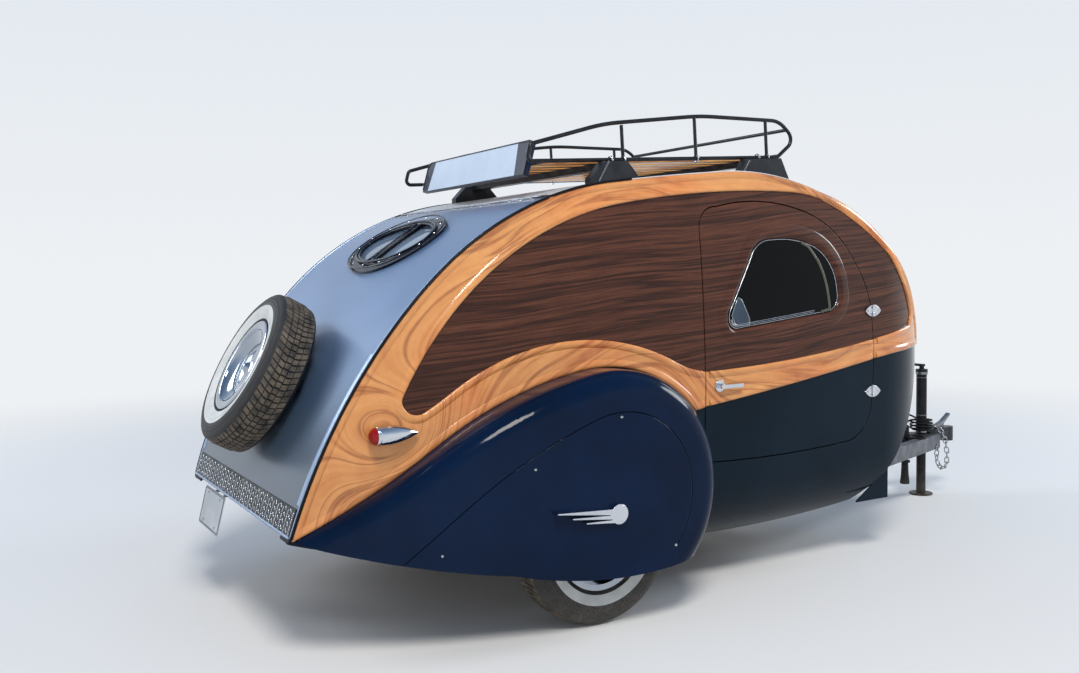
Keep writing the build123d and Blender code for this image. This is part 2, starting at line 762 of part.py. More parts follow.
with BuildPart() as fixed_leaf:
    for height in hinge_heights:
        extrude(leaf_face(1, height), amount=12)
    for height in hinge_heights:
        add(knuckle(height, knuckle_length + 0.6, knuckle_r + 1), mode=Mode.SUBTRACT)
        for step in (-1, 1):
            add(knuckle(height + step * knuckle_length, knuckle_length - 0.2, knuckle_r))
        add(knuckle(height, 2.8 * knuckle_length, pin_r))
    add(beyond_wall, mode=Mode.INTERSECT)
keep_both("hinge_fixed_leaves", fixed_leaf.part)
with BuildPart() as moving_leaf:
    for height in hinge_heights:
        extrude(leaf_face(-1, height), amount=12)
    for height in hinge_heights:
        for step in (-1, 1):
            gap_height = height + step * knuckle_length
            add(knuckle(gap_height, knuckle_length + 0.6, knuckle_r + 1), mode=Mode.SUBTRACT)
        add(knuckle(height, knuckle_length - 0.2, knuckle_r))
        add(knuckle(height, 60, pin_r + bore_clearance), mode=Mode.SUBTRACT)
    add(beyond_wall, mode=Mode.INTERSECT)

# Door handle: a round escutcheon and a lever
handle_x, handle_z = 595.0, 821.0
with BuildPart() as handle:
    with BuildSketch(Plane.XZ.offset(760)) as escutcheon:
        with Locations((handle_x, handle_z)):
            Circle(23)
    extrude(escutcheon.sketch, amount=18)
    with BuildSketch(Plane.XZ.offset(770)) as neck:
        with Locations((handle_x, handle_z)):
            Circle(9)
    extrude(neck.sketch, amount=30)
    with BuildSketch(Plane.XZ.offset(790)) as lever:
        with Locations((handle_x + 45, handle_z - 2)):
            SlotCenterToCenter(96, 15)
    extrude(lever.sketch, amount=11)
    add(beyond_wood, mode=Mode.INTERSECT)
    add(moving_leaf.part)
keep_pair("door_fittings", handle.part)

# Coupler with its ball socket open below, and the latch on top
ball_socket_x = coupler_nose_x - 36
socket_r, socket_depth, coupler_lip_z = 25.6, 40.0, 285.0
with BuildPart() as coupler:
    with BuildSketch(Plane.XZ) as coupler_side:
        with BuildLine():
            Polyline(
                (2735, beam_top_z), (2735, 349), (2830, 363), (ball_socket_x, 363),
                (ball_socket_x, 292), (2840, 300), (2794, 318), (2794, beam_top_z), close=True,
            )
        make_face()
    extrude(coupler_side.sketch, amount=30, both=True)
    with BuildSketch(Plane.XY.offset(coupler_lip_z)) as cup:
        with Locations((ball_socket_x, 0)):
            Circle(36)
    extrude(cup.sketch, amount=78)
    with BuildSketch(Plane.XY.offset(coupler_lip_z)) as socket:
        with Locations((ball_socket_x, 0)):
            Circle(socket_r)
    extrude(socket.sketch, amount=socket_depth, mode=Mode.SUBTRACT)
keep("coupler", coupler.part)
with BuildPart() as latch:
    with BuildSketch(Plane.XZ) as latch_side:
        with BuildLine():
            Polyline(
                (2800, 363), (2872, 363), (2876, 384), (2928, 430), (2922, 438),
                (2862, 396), (2806, 376), close=True,
            )
        make_face()
    extrude(latch_side.sketch, amount=12, both=True)
    with Locations((2836, 0, 358)):
        Box(100, 30, 10, mode=Mode.SUBTRACT)
keep("coupler_latch", latch.part)

# Tongue jack: a fixed tube through the crotch of the A-frame and a leg that slides in it
jack_x = 2700.0
jack_tube_r, jack_bore_r, jack_leg_r = 28.0, 25.05, 25.0
jack_top_z, jack_tube_low_z = 679.0, 240.0
with BuildPart() as jack_tube:
    with BuildSketch(Plane.XY.offset(jack_tube_low_z)) as tube:
        with Locations((jack_x, 0)):
            Circle(jack_tube_r)
            Circle(jack_bore_r, mode=Mode.SUBTRACT)
    extrude(tube.sketch, amount=jack_top_z - jack_tube_low_z)
    with BuildSketch(Plane.XY.offset(beam_top_z)) as jack_plate:
        with BuildLine():
            Polyline((2610, -88), (2610, 88), (2732, 46), (2732, -46), close=True)
        make_face()
        with Locations((jack_x, 0)):
            Circle(jack_tube_r - 1, mode=Mode.SUBTRACT)
    extrude(jack_plate.sketch, amount=8)
keep("jack_tube", jack_tube.part)
with BuildPart() as jack_crank:
    with BuildSketch(Plane.XY.offset(jack_top_z)) as crank_cap:
        with Locations((jack_x, 0)):
            Circle(32)
    extrude(crank_cap.sketch, amount=22)
    with BuildSketch(Plane.XY.offset(jack_top_z + 22)) as crank_hub:
        with Locations((jack_x, 0)):
            Circle(13)
    extrude(crank_hub.sketch, amount=28)
    with Locations((jack_x, 45, jack_top_z + 44)):
        Box(26, 116, 12)
    with BuildSketch(Plane.XY.offset(jack_top_z + 50)) as grip:
        with Locations((jack_x, 90)):
            Circle(13)
    extrude(grip.sketch, amount=105)
keep("jack_crank", jack_crank.part)
with BuildPart() as jack_leg:
    with BuildSketch(Plane.XY.offset(8)) as leg:
        with Locations((jack_x, 0)):
            Circle(jack_leg_r)
    extrude(leg.sketch, amount=jack_top_z - 240)
    with BuildSketch(Plane.XY) as foot:
        with Locations((jack_x, 0)):
            Circle(62)
    extrude(foot.sketch, amount=8)
keep("jack_leg", jack_leg.part)

# Roof rack, on a plane that rises towards the nose
rack_tilt = 3.0
rack_plane = Plane(
    origin=(240, 0, 1692),
    x_dir=(cos(radians(rack_tilt)), 0, sin(radians(rack_tilt))),
    z_dir=(-sin(radians(rack_tilt)), 0, cos(radians(rack_tilt))),
)
rack_half_width = 560.0
crossbar_stations = (0.0, 746.0)
crossbar_height, crossbar_width = 26.0, 60.0
# foot: rear and front at the roof, rear and front at the top, top height
feet = ((123.0, 354.0, 190.0, 290.0, 1694.0), (833.0, 1138.0, 905.0, 1075.0, 1748.0))
foot_thickness = 44.0
with BuildPart() as rack_bars:
    for station in crossbar_stations:
        with BuildSketch(Plane(rack_plane.location * Location((station, 0, 0)))) as bar:
            Rectangle(crossbar_width, 2 * rack_half_width)
        extrude(bar.sketch, amount=-crossbar_height)
    for low_rear, low_front, top_rear, top_front, top_z in feet:
        with BuildSketch(Plane.XZ.offset(rack_half_width - 1)) as foot_side:
            with BuildLine():
                Polyline(
                    (low_rear, 1560), (low_rear, 1625), (top_rear, top_z), (top_front, top_z),
                    (low_front, 1625), (low_front, 1560), close=True,
                )
            make_face()
        foot = extrude(foot_side.sketch, amount=foot_thickness)
        mirror(foot, about=Plane.XZ)
    extrude(hull_outer, amount=side_reach, both=True, mode=Mode.SUBTRACT)
    with BuildSketch(rack_plane) as above_bars:
        Rectangle(4000, 2000)
    extrude(above_bars.sketch, amount=200, mode=Mode.SUBTRACT)
keep("rack_bars", rack_bars.part)

# Basket: a bent loop each side, uprights between, and a rail across the front
rail_r = 8.0
# station and height on the rack's plane, bend radius
loop_rows = (
    (-372, 8, 20),
    (-352, 70, 24),
    (-20, 145, 900),
    (450, 178, 1200),
    (880, 160, 120),
    (965, 80, 40),
    (860, 8, 30),
)
upright_rows = ((60, 140.0), (420, 172.0), (800, 162.0))


def rack_point(x, y, z):
    return rack_plane.from_local_coords(Vector(x, y, z))


def round_bar(start, end, radius):
    with BuildPart() as bar:
        with BuildSketch(Plane(origin=start, z_dir=end - start)):
            Circle(radius)
        extrude(amount=(end - start).length)
    return bar.part


rear_rail_station = -285.5
loop_plane = Plane(
    origin=rack_point(0, -rack_half_width, 0), x_dir=rack_plane.x_dir, z_dir=(0, -1, 0)
)
with BuildLine(loop_plane) as loop:
    FilletPolyline(*[(x, z) for x, z, bend in loop_rows], radius=[r[2] for r in loop_rows], close=True)
loop_path = loop.wires()[0]
with BuildPart() as side_loop:
    with BuildSketch(Plane(origin=loop_path @ 0, z_dir=loop_path % 0)):
        Circle(rail_r)
    sweep(path=loop_path)
with BuildPart() as basket:
    add(side_loop.part)
    for station, top in upright_rows:
        low, high = (rack_point(station, -rack_half_width, z) for z in (rail_r, top))
        add(round_bar(low, high, rail_r - 1))
    mirror(basket.part, about=Plane.XZ)
    for station, height in ((920.0, 122.4), (868.0, 13.5), (rear_rail_station, 8.0)):
        left, right = (rack_point(station, y, height) for y in (rack_half_width, -rack_half_width))
        add(round_bar(left, right, rail_r - 0.5))
keep("rack_basket", basket.part)

# Floor of the rack: slats on the crossbars
slat_width, slat_thickness, slat_count = 70.0, 12.0, 9
slat_rear, slat_front = -274.0, 850.0
with BuildPart() as slats:
    with BuildSketch(rack_plane) as slat_face:
        with Locations(((slat_rear + slat_front) / 2, 0)):
            with GridLocations(1, 116, 1, slat_count):
                Rectangle(slat_front - slat_rear, slat_width)
    extrude(slat_face.sketch, amount=slat_thickness)
keep("rack_slats", slats.part)

# Sign board across the back of the rack, blank, on two lugs from the outer slats
board_low, board_high = (-90.0, 1641.0), (-53.0, 1772.0)
board_half_width, board_thickness = 464.0, 22.0
board_lean = atan2(board_high[0] - board_low[0], board_high[1] - board_low[1])
board_plane = Plane(
    origin=((board_low[0] + board_high[0]) / 2, 0, (board_low[1] + board_high[1]) / 2),
    x_dir=(0, -1, 0),
    z_dir=(-cos(board_lean), 0, sin(board_lean)),
)
board_height = ((board_high[0] - board_low[0]) ** 2 + (board_high[1] - board_low[1]) ** 2) ** 0.5
with BuildPart() as sign_board:
    with BuildSketch(board_plane) as board_face:
        RectangleRounded(2 * board_half_width, board_height, 4)
    extrude(board_face.sketch, amount=-board_thickness)
    for lug_y in (-300, 300):
        with Locations(rack_point(rear_rail_station, lug_y, 6)):
            Box(34, 30, 26)
    add(basket.part, mode=Mode.SUBTRACT)
    add(slats.part, mode=Mode.SUBTRACT)
keep("sign_board", sign_board.part)

# Blank number plate on a bracket under the left rear corner
plate_y, plate_width, plate_height = 300.0, 305.0, 152.0
plate_plane = Plane(origin=(-1110, plate_y, 350), x_dir=(0, -1, 0), z_dir=(-0.97, 0, 0.243))
strap_rows = (
    (-970, 419), (-1000, 426.9), (-1010, 422), (-1094, 409), (-1094, 403), (-1005, 416), (-972, 412),
)
with BuildPart() as number_plate:
    with BuildSketch(plate_plane) as plate_face:
        RectangleRounded(plate_width, plate_height, 8)
    extrude(plate_face.sketch, amount=-3)
    for strap_y in (plate_y - 60, plate_y + 60):
        with BuildSketch(Plane.XZ.offset(-strap_y)) as strap:
            with BuildLine():
                Polyline(*strap_rows, close=True)
            make_face()
        extrude(strap.sketch, amount=12, both=True)
keep("number_plate", number_plate.part)

# Flat skirts under the nose, one below each side wall
skirt_plate_y, skirt_plate_thickness = 700.0, 5.0
with BuildPart() as frame_skirt:
    with BuildSketch(Plane.XZ.offset(skirt_plate_y)) as skirt_plate:
        with BuildLine():
            Polyline((1622, 243), (1622, 430), (1530, 430), (1425, 250), (1425, 243), close=True)
        make_face()
    extrude(skirt_plate.sketch, amount=skirt_plate_thickness)
    extrude(hull_outer, amount=side_reach, both=True, mode=Mode.SUBTRACT)
keep_both("frame_skirts", frame_skirt.part)

# Safety chain: bolted to the right-hand beam, down in a loop, then up and over the coupler
link_pitch, link_wire_r, link_half_width = 27.0, 2.8, 10.5
link_play = 3.2
chain_bend_r = 32.0
chain_bolt_r, chain_bolt_head_r, chain_bolt_head = 5.0, 10.0, 5.0
chain_rows = (
    (2747, -71.4, 279), (2733, -76.4, 220), (2734, -84, 178), (2750, -90, 151), (2786, -91, 151),
    (2803, -89, 178), (2812, -84, 226), (2810, -76, 290), (2800, -60, 345), (2792, -35, 370),
    (2787, 35, 370), (2790, 56, 356), (2794, 74, 325), (2795, 74, 268),
)


def chain_link(centre, along, across):
    frame = Plane(origin=centre, x_dir=along, z_dir=across)
    half = (link_pitch + link_play) / 2 - link_half_width + link_wire_r
    with BuildPart() as link:
        with BuildLine(frame) as middle:
            Line((-half, link_half_width), (half, link_half_width))
            ThreePointArc((half, link_half_width), (half + link_half_width, 0), (half, -link_half_width))
            Line((half, -link_half_width), (-half, -link_half_width))
            ThreePointArc((-half, -link_half_width), (-half - link_half_width, 0), (-half, link_half_width))
        with BuildSketch(Plane(origin=middle.wires()[0] @ 0, z_dir=middle.wires()[0] % 0)):
            Circle(link_wire_r)
        sweep(path=middle.wires()[0])
    return link.part


with BuildLine() as chain_line:
    FilletPolyline(*chain_rows, radius=chain_bend_r)
chain_path = chain_line.wires()[0]
link_count = int(chain_path.length / link_pitch)
link_ends = [chain_path.position_at(number / link_count) for number in range(link_count + 1)]
# Each link is turned a quarter from the last, and the run twists by an eighth before the coupler
beam_out = Vector(sin(radians(tongue_angle)), -cos(radians(tongue_angle)), 0)
level = beam_out
links = []
for number, (start, end) in enumerate(zip(link_ends, link_ends[1:])):
    along = (end - start).normalized()
    level = (level - along * level.dot(along)).normalized()
    roll = radians(90 * number + 45 * min(1, number / 8))
    across = level * cos(roll) + along.cross(level) * sin(roll)
    links.append(chain_link((start + end) * 0.5, along, across))
first_middle = (link_ends[0] + link_ends[1]) * 0.5 - (link_ends[1] - link_ends[0]).normalized() * 4
with BuildPart() as chain_bolt:
    with BuildSketch(Plane(origin=first_middle - beam_out * 3.2, z_dir=beam_out)):
        Circle(chain_bolt_r)
    extrude(amount=6.4)
    with BuildSketch(Plane(origin=first_middle + beam_out * 3.2, z_dir=beam_out)):
        RegularPolygon(chain_bolt_head_r, 6)
    extrude(amount=chain_bolt_head)
keep("safety_chain", Compound(children=links + [chain_bolt.part]))

# Cable: out of a gland on the jack's plate, wound round the jack, down into its plug
gland_at = (2640.0, 60.0)
gland_r, gland_height = 11.0, 14.0
cable_r = 5.0
jack_plate_top_z = beam_top_z + 8
gland_top_z = jack_plate_top_z + gland_height
with BuildPart() as gland:
    with BuildSketch(Plane.XY.offset(jack_plate_top_z)) as gland_face:
        with Locations(gland_at):
            RegularPolygon(gland_r, 6)
    extrude(gland_face.sketch, amount=gland_height)
coil_rows = ((28.3, 354), (66, 354), (67, 400), (60, 428), (52, 442), (28.3, 442))
with BuildPart() as coil:
    with BuildSketch(Plane.XZ) as coil_face:
        with BuildLine():
            Polyline(*[(jack_x + r, z) for r, z in coil_rows], close=True)
        make_face()
    revolve(coil_face.sketch, axis=Axis((jack_x, 0, 0), (0, 0, 1)))
keep("cable_coil", coil.part)
plug_x, plug_top_z = 2568.0, 402.0
plug_rows = (
    (0, plug_top_z), (11, plug_top_z), (21, 394), (21, 347), (27, 347), (27, 341), (21, 341), (17, 322),
    (15, 206), (28, 203), (28, 193), (18, 190), (20, 130), (25, 86), (25, 74), (0, 74),
)
with BuildPart() as plug:
    with BuildSketch(Plane.XZ) as plug_face:
        with BuildLine():
            Polyline(*[(plug_x + r, z) for r, z in plug_rows], close=True)
        make_face()
    revolve(plug_face.sketch, axis=Axis((plug_x, 0, 0), (0, 0, 1)))
keep("cable_plug", plug.part)
with BuildPart() as plug_bracket:
    with BuildSketch(Plane.XY.offset(beam_top_z)) as bracket_face:
        with Locations((plug_x, 0)):
            RectangleRounded(44, 250, 6)
            Circle(22, mode=Mode.SUBTRACT)
    extrude(bracket_face.sketch, amount=6)
keep("cable_fittings", Compound(children=[gland.part, plug_bracket.part]))
lead_in = (
    (*gland_at, gland_top_z), (2640, 60, 385), (2641, 47, 407), (2646, 20, 420), (2650, -8, 421),
)
lead_out = (
    (2675, 40, 436), (2636.7, 26.5, 445.5), (2601.6, 13, 459), (2579.7, 4.5, 450.7),
    (plug_x, 0, 429), (plug_x, 0, plug_top_z),
)


def cable_tube(points):
    turns = [
        (Vector(*b) - Vector(*a)).get_angle(Vector(*c) - Vector(*b))
        for a, b, c in zip(points, points[1:], points[2:])
    ]
    lengths = [(Vector(*b) - Vector(*a)).length for a, b in zip(points, points[1:])]
    radii = [
        0.45 * min(before, after) / tan(radians(turn / 2))
        for before, after, turn in zip(lengths, lengths[1:], turns)
    ]
    print("cable radii", [round(r, 1) for r in radii])
    with BuildLine() as route:
        FilletPolyline(*points, radius=radii)
    path = route.wires()[0]
    with BuildPart() as tube:
        with BuildSketch(Plane(origin=path @ 0, z_dir=path % 0)):
            Circle(cable_r)
        sweep(path=path)
    length = path.length
    print("cable length", round(length), "volume", round(tube.part.volume), round(length * pi * cable_r**2))
    return tube.part


keep("cable_lead", Compound(children=[cable_tube(lead_in), cable_tube(lead_out)]))

# Hatch hinge: leaves on the skins either side of the pin, with knuckles taking turns
hatch_knuckle_r, hatch_pin_r = 4.0, 2.0
hatch_leaf_reach, hatch_leaf_thickness = 26.0, 2.0
hatch_hinge_half = 640.0
hatch_knuckle_count = 10
hatch_knuckle_length = 2 * hatch_hinge_half / hatch_knuckle_count


def hatch_roll(number, radius, length):
    middle = -hatch_hinge_half + (number + 0.5) * hatch_knuckle_length
    with BuildPart() as roll:
        with BuildSketch(Plane.XZ.offset(-middle)) as roll_face:
            with Locations((hinge_x, hinge_z)):
                Circle(radius)
        extrude(roll_face.sketch, amount=length / 2, both=True)
    return roll.part


for turn, (hinge_name, reach) in enumerate((("hatch_hinge_fixed", 1), ("hatch_hinge_moving", -1))):
    pin_mode, pin_bore = (Mode.ADD, 0) if reach == 1 else (Mode.SUBTRACT, bore_clearance)
    with BuildPart() as hatch_leaf:
        extrude(hull(-hatch_leaf_thickness), amount=hatch_hinge_half, both=True)
        extrude(hull_outer, amount=hatch_hinge_half, both=True, mode=Mode.SUBTRACT)
        with Locations((hinge_x + reach * (hatch_leaf_reach / 2 + 1), 0, hinge_z)):
            Box(hatch_leaf_reach, 2 * hatch_hinge_half, 60, mode=Mode.INTERSECT)
        for number in range(hatch_knuckle_count):
            if number % 2 == turn:
                add(hatch_roll(number, hatch_knuckle_r, hatch_knuckle_length - 0.6))
            else:
                add(hatch_roll(number, hatch_knuckle_r + 1, hatch_knuckle_length + 0.6), mode=Mode.SUBTRACT)
        for number in range(hatch_knuckle_count):
            add(hatch_roll(number, hatch_pin_r + pin_bore, hatch_knuckle_length), mode=pin_mode)
    keep(hinge_name, hatch_leaf.part)

# Move the origin to the ground under the middle of the trailer
low_x = min(part.bounding_box().min.X for part in finished.values())
high_x = max(part.bounding_box().max.X for part in finished.values())
for name, part in finished.items():
    placed = part.moved(Location((-(low_x + high_x) / 2, 0, 0)))
    placed.label = name
    export_step(placed, f"parts/{name}.step")
print("axle station", -(low_x + high_x) / 2)
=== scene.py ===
import json
import math
import bmesh
import bpy
from mathutils import Matrix, Vector
from mathutils.bvhtree import BVHTree


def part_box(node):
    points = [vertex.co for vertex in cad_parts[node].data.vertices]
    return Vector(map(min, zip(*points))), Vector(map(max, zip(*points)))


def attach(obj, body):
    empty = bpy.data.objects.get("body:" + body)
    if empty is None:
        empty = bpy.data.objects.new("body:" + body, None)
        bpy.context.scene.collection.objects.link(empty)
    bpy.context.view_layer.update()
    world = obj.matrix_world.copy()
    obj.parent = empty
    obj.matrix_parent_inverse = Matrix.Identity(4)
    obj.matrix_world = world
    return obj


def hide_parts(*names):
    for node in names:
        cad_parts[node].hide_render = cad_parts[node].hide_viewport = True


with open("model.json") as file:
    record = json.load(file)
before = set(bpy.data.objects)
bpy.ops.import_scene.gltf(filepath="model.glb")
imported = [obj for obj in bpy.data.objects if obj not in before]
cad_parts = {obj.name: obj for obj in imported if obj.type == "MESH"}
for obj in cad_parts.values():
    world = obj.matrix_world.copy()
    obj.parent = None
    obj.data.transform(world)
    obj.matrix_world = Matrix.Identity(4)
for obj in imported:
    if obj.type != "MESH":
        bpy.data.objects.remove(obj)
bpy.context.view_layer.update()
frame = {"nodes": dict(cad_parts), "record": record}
nodes = frame["nodes"]
axleX = (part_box("right_tyre")[0].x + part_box("right_tyre")[1].x) / 2
sides = (("right", -1), ("left", 1))
axisX, axisY, axisZ = Vector((1, 0, 0)), Vector((0, 1, 0)), Vector((0, 0, 1))


def at(x, y, z):  # millimetres from the axle's middle on the ground
    return Vector((axleX + x / 1000, y / 1000, z / 1000))


def screen(red, green, blue):  # a colour as a screen shows it, as light
    def light(value):
        share = value / 255
        return share / 12.92 if share < 0.04 else ((share + 0.055) / 1.055) ** 2.4
    return (light(red), light(green), light(blue), 1)


def placed(origin, *axes):  # a matrix whose local X, Y and Z are these axes
    return Matrix.Translation(origin) @ Matrix(axes).transposed().to_4x4()


def addToScene(name, data):
    made = bpy.data.objects.new(name, data)
    bpy.context.scene.collection.objects.link(made)
    return made


# Camera, lamps, world and floor: places in millimetres from the axle, sizes in metres
studio = {
    "lens": 34.75, "sensor": 36, "azimuth": -30.4, "pitch": -3.6, "roll": -0.9,
    "eye": (-2046.9, -3898.7, 1277.9),
    "aim": (300, 0, 700),
    # place, size, power, colour
    "lamps": {
        "keyLamp": ((-2200, -5600, 7600), 2.6, 600, (1.0, 0.96, 0.91)),
        "frontLamp": ((9500, -2200, 4400), 3.4, 330, (0.95, 0.98, 1.0)),
        "backLamp": ((-5500, 6500, 5000), 3.6, 260, (0.95, 0.97, 1.0)),
    },
    # sine of the elevation, colour
    "backdrop": ((0.0, screen(238, 241, 244)), (0.28, screen(226, 232, 240)), (0.5, screen(168, 188, 212)),
                 (0.85, screen(120, 142, 172))),
    "ambient": 0.95,
    "floor": {"colour": screen(222, 221, 219), "rough": 0.85, "middle": (300, 0, -0.5), "radius": 40,
              "corners": 96},
    "fade": (3.2, 8.5),
}


def plug(tree, node, values):  # links what is a socket and sets the rest
    for key, value in values.items():
        if isinstance(value, bpy.types.NodeSocket):
            tree.links.new(value, node.inputs[key])
        else:
            node.inputs[key].default_value = value
    return node


def addNode(tree, kind, inputs=None, **settings):
    node = tree.nodes.new("ShaderNode" + kind)
    for key, value in settings.items():
        setattr(node, key, value)
    return plug(tree, node, inputs or {})


def mathNode(tree, operation, *values):
    return addNode(tree, "Math", dict(enumerate(values)), operation=operation).outputs[0]


def times(tree, first, second):
    return mathNode(tree, "MULTIPLY", first, second)


def mixColour(tree, share, first, second, blend="MIX"):
    inputs = {0: share, 6: first, 7: second}
    return addNode(tree, "Mix", inputs, data_type="RGBA", blend_type=blend).outputs[2]


def rampNode(tree, share, stops):
    node = addNode(tree, "ValToRGB", {0: share})
    while len(node.color_ramp.elements) < len(stops):
        node.color_ramp.elements.new(0.5)
    for element, (place, colour) in zip(node.color_ramp.elements, stops):
        element.position = place
        element.color = colour
    return node.outputs[0]


def remap(tree, value, low, high, toLow=0.0, toHigh=1.0, smooth=False):
    return addNode(tree, "MapRange", {0: value, 1: low, 2: high, 3: toLow, 4: toHigh},
                   interpolation_type="SMOOTHSTEP" if smooth else "LINEAR").outputs[0]


def noise(tree, place, scale, detail, roughness=0.5):
    inputs = {"Vector": place, "Scale": scale, "Detail": detail, "Roughness": roughness}
    return addNode(tree, "TexNoise", inputs).outputs[0]


def objectPlace(tree):  # Object coordinates, and their three parts
    place = addNode(tree, "TexCoord").outputs["Object"]
    return place, addNode(tree, "SeparateXYZ", {0: place}).outputs


def makeCamera():
    camera = bpy.data.cameras.new("camera")
    camera.lens = studio["lens"]
    camera.sensor_width = studio["sensor"]
    camera.sensor_fit = "HORIZONTAL"
    eye = addToScene("camera", camera)
    turn, tip, roll = (math.radians(studio[key]) for key in ("azimuth", "pitch", "roll"))
    ahead = Vector((-math.sin(turn) * math.cos(tip), math.cos(turn) * math.cos(tip), math.sin(tip)))
    level = Vector((math.cos(turn), math.sin(turn), 0))
    above = level.cross(ahead)
    right = level * math.cos(roll) + above * math.sin(roll)
    up = above * math.cos(roll) - level * math.sin(roll)
    eye.matrix_world = placed(at(*studio["eye"]), right, up, -ahead)
    bpy.context.scene.camera = eye
    bpy.context.scene.view_settings.view_transform = "Standard"


def makeLights():
    for name, (place, size, power, colour) in studio["lamps"].items():
        light = bpy.data.lights.new(name, "AREA")
        light.shape, light.size, light.energy, light.color = "DISK", size, power, colour
        holder = addToScene(name, light)
        holder.location = at(*place)
        holder.rotation_euler = (at(*studio["aim"]) - at(*place)).to_track_quat("-Z", "Y").to_euler()


def makeWorld():  # seen and reflected at full strength, and a little weaker as light
    world = bpy.data.worlds.new("studio")
    bpy.context.scene.world = world
    world.use_nodes = True
    tree = world.node_tree
    tree.nodes.clear()
    height = addNode(tree, "SeparateXYZ", {0: addNode(tree, "TexCoord").outputs["Generated"]}).outputs[2]
    colour = rampNode(tree, height, studio["backdrop"])
    path = addNode(tree, "LightPath").outputs
    seen = mathNode(tree, "MAXIMUM", path["Is Camera Ray"], path["Is Glossy Ray"])
    seen = mathNode(tree, "MAXIMUM", seen, path["Is Transmission Ray"])
    strength = remap(tree, seen, 0.0, 1.0, studio["ambient"], 1.0)
    light = addNode(tree, "Background", {0: colour, 1: strength})
    addNode(tree, "OutputWorld", {0: light.outputs[0]})


def makeFloor():  # fades into the backdrop's horizon
    form = bmesh.new()
    ground = studio["floor"]
    bmesh.ops.create_circle(form, cap_ends=True, segments=ground["corners"], radius=ground["radius"])
    mesh = bpy.data.meshes.new("floor")
    form.to_mesh(mesh)
    form.free()
    floor = addToScene("floor", mesh)
    floor.location = at(*ground["middle"])
    paint = bpy.data.materials.new("floor")
    paint.use_nodes = True
    tree = paint.node_tree
    tree.nodes.clear()
    place = addNode(tree, "TexCoord").outputs["Object"]
    reach = addNode(tree, "VectorMath", {0: place}, operation="LENGTH").outputs["Value"]
    far = remap(tree, reach, *studio["fade"], smooth=True)
    near = addNode(tree, "BsdfPrincipled", {"Base Color": ground["colour"], "Roughness": ground["rough"]})
    horizon = addNode(tree, "Emission", {0: studio["backdrop"][0][1]})
    both = addNode(tree, "MixShader", {0: far, 1: near.outputs[0], 2: horizon.outputs[0]})
    addNode(tree, "OutputMaterial", {0: both.outputs[0]})
    mesh.materials.append(paint)


makeCamera()
makeLights()
makeWorld()
makeFloor()
print("studio ready")


# Shared effects, as node groups
def startGroup(name, inputs, outputs):  # an input without a value is a place
    group = bpy.data.node_groups.new(name, "ShaderNodeTree")
    for socket, value in inputs.items():
        kind = "NodeSocketVector" if value is None else "NodeSocketFloat"
        made = group.interface.new_socket(socket, in_out="INPUT", socket_type=kind)
        if value is not None:
            made.default_value = value
    for socket in outputs:
        group.interface.new_socket(socket, in_out="OUTPUT", socket_type="NodeSocketFloat")
    return group, group.nodes.new("NodeGroupInput").outputs, group.nodes.new("NodeGroupOutput")


grainInputs = {"Position": None, "Across": 0.0, "Along": 0.0, "Warp": 0.05, "Rings": 20.0, "Fine": 160.0,
               "Stretch": 0.9, "Drift": 2.0}


def makeGrain():
    group, given, end = startGroup("woodGrain", grainInputs, ("Rings", "Fine", "Pores"))
    drift = noise(group, given["Position"], given["Drift"], 1.5)
    shift = times(group, mathNode(group, "SUBTRACT", drift, 0.5), given["Warp"])
    across = mathNode(group, "ADD", given["Across"], shift)

    def streaks(runs, plane, lines, detail, roughness=0.5):  # plane: which slice of the noise
        run, turn = times(group, given["Along"], runs), times(group, across, lines)
        place = addNode(group, "CombineXYZ", {0: run, 1: plane, 2: turn}).outputs[0]
        return noise(group, place, 1.0, detail, roughness)

    rings = streaks(given["Stretch"], 0.0, given["Rings"], 4.0, 0.55)
    fine = streaks(7.0, 3.0, given["Fine"], 3.0, 0.6)
    pores = remap(group, streaks(45.0, 9.0, 900.0, 1.0), 0.6, 0.7, smooth=True)
    plug(group, end, {"Rings": rings, "Fine": fine, "Pores": pores})
    return group


wearInputs = {"Roughness": 0.4, "Spread": 0.1, "Scale": 6.0, "Dust Top": 0.4}
grit = {"scale": 420.0, "detail": 2.0, "share": (0.45, 0.75), "fade": 0.3}


def makeWear():  # cloudy roughness, and dust towards the ground
    group, given, end = startGroup("wear", wearInputs, ("Roughness", "Cloud", "Dust", "Height"))
    place, parts = objectPlace(group)
    cloud = noise(group, place, given["Scale"], 6.0)
    grains = noise(group, place, grit["scale"], grit["detail"])
    centred = mathNode(group, "SUBTRACT", cloud, 0.5)
    rough = mathNode(group, "MULTIPLY_ADD", centred, given["Spread"], given["Roughness"])
    below = mathNode(group, "SUBTRACT", given["Dust Top"], parts[2])
    low = remap(group, below, 0.0, grit["fade"], smooth=True)
    dust = times(group, low, times(group, remap(group, grains, *grit["share"]), cloud))
    plug(group, end, {"Roughness": rough, "Cloud": cloud, "Dust": dust, "Height": grains})
    return group


grainGroup = makeGrain()
wearGroup = makeWear()
dustColour = screen(150, 140, 122)
bevelSamples = 4
bumpHeight = 0.001


def groupNode(tree, group, inputs):
    return addNode(tree, "Group", inputs, node_tree=group).outputs


def startMaterial(name, sockets):
    made = bpy.data.materials.new(name)
    made.use_nodes = True
    tree = made.node_tree
    tree.nodes.clear()
    shader = addNode(tree, "BsdfPrincipled", sockets)
    addNode(tree, "OutputMaterial", {0: shader.outputs[0]})
    return made, tree, shader


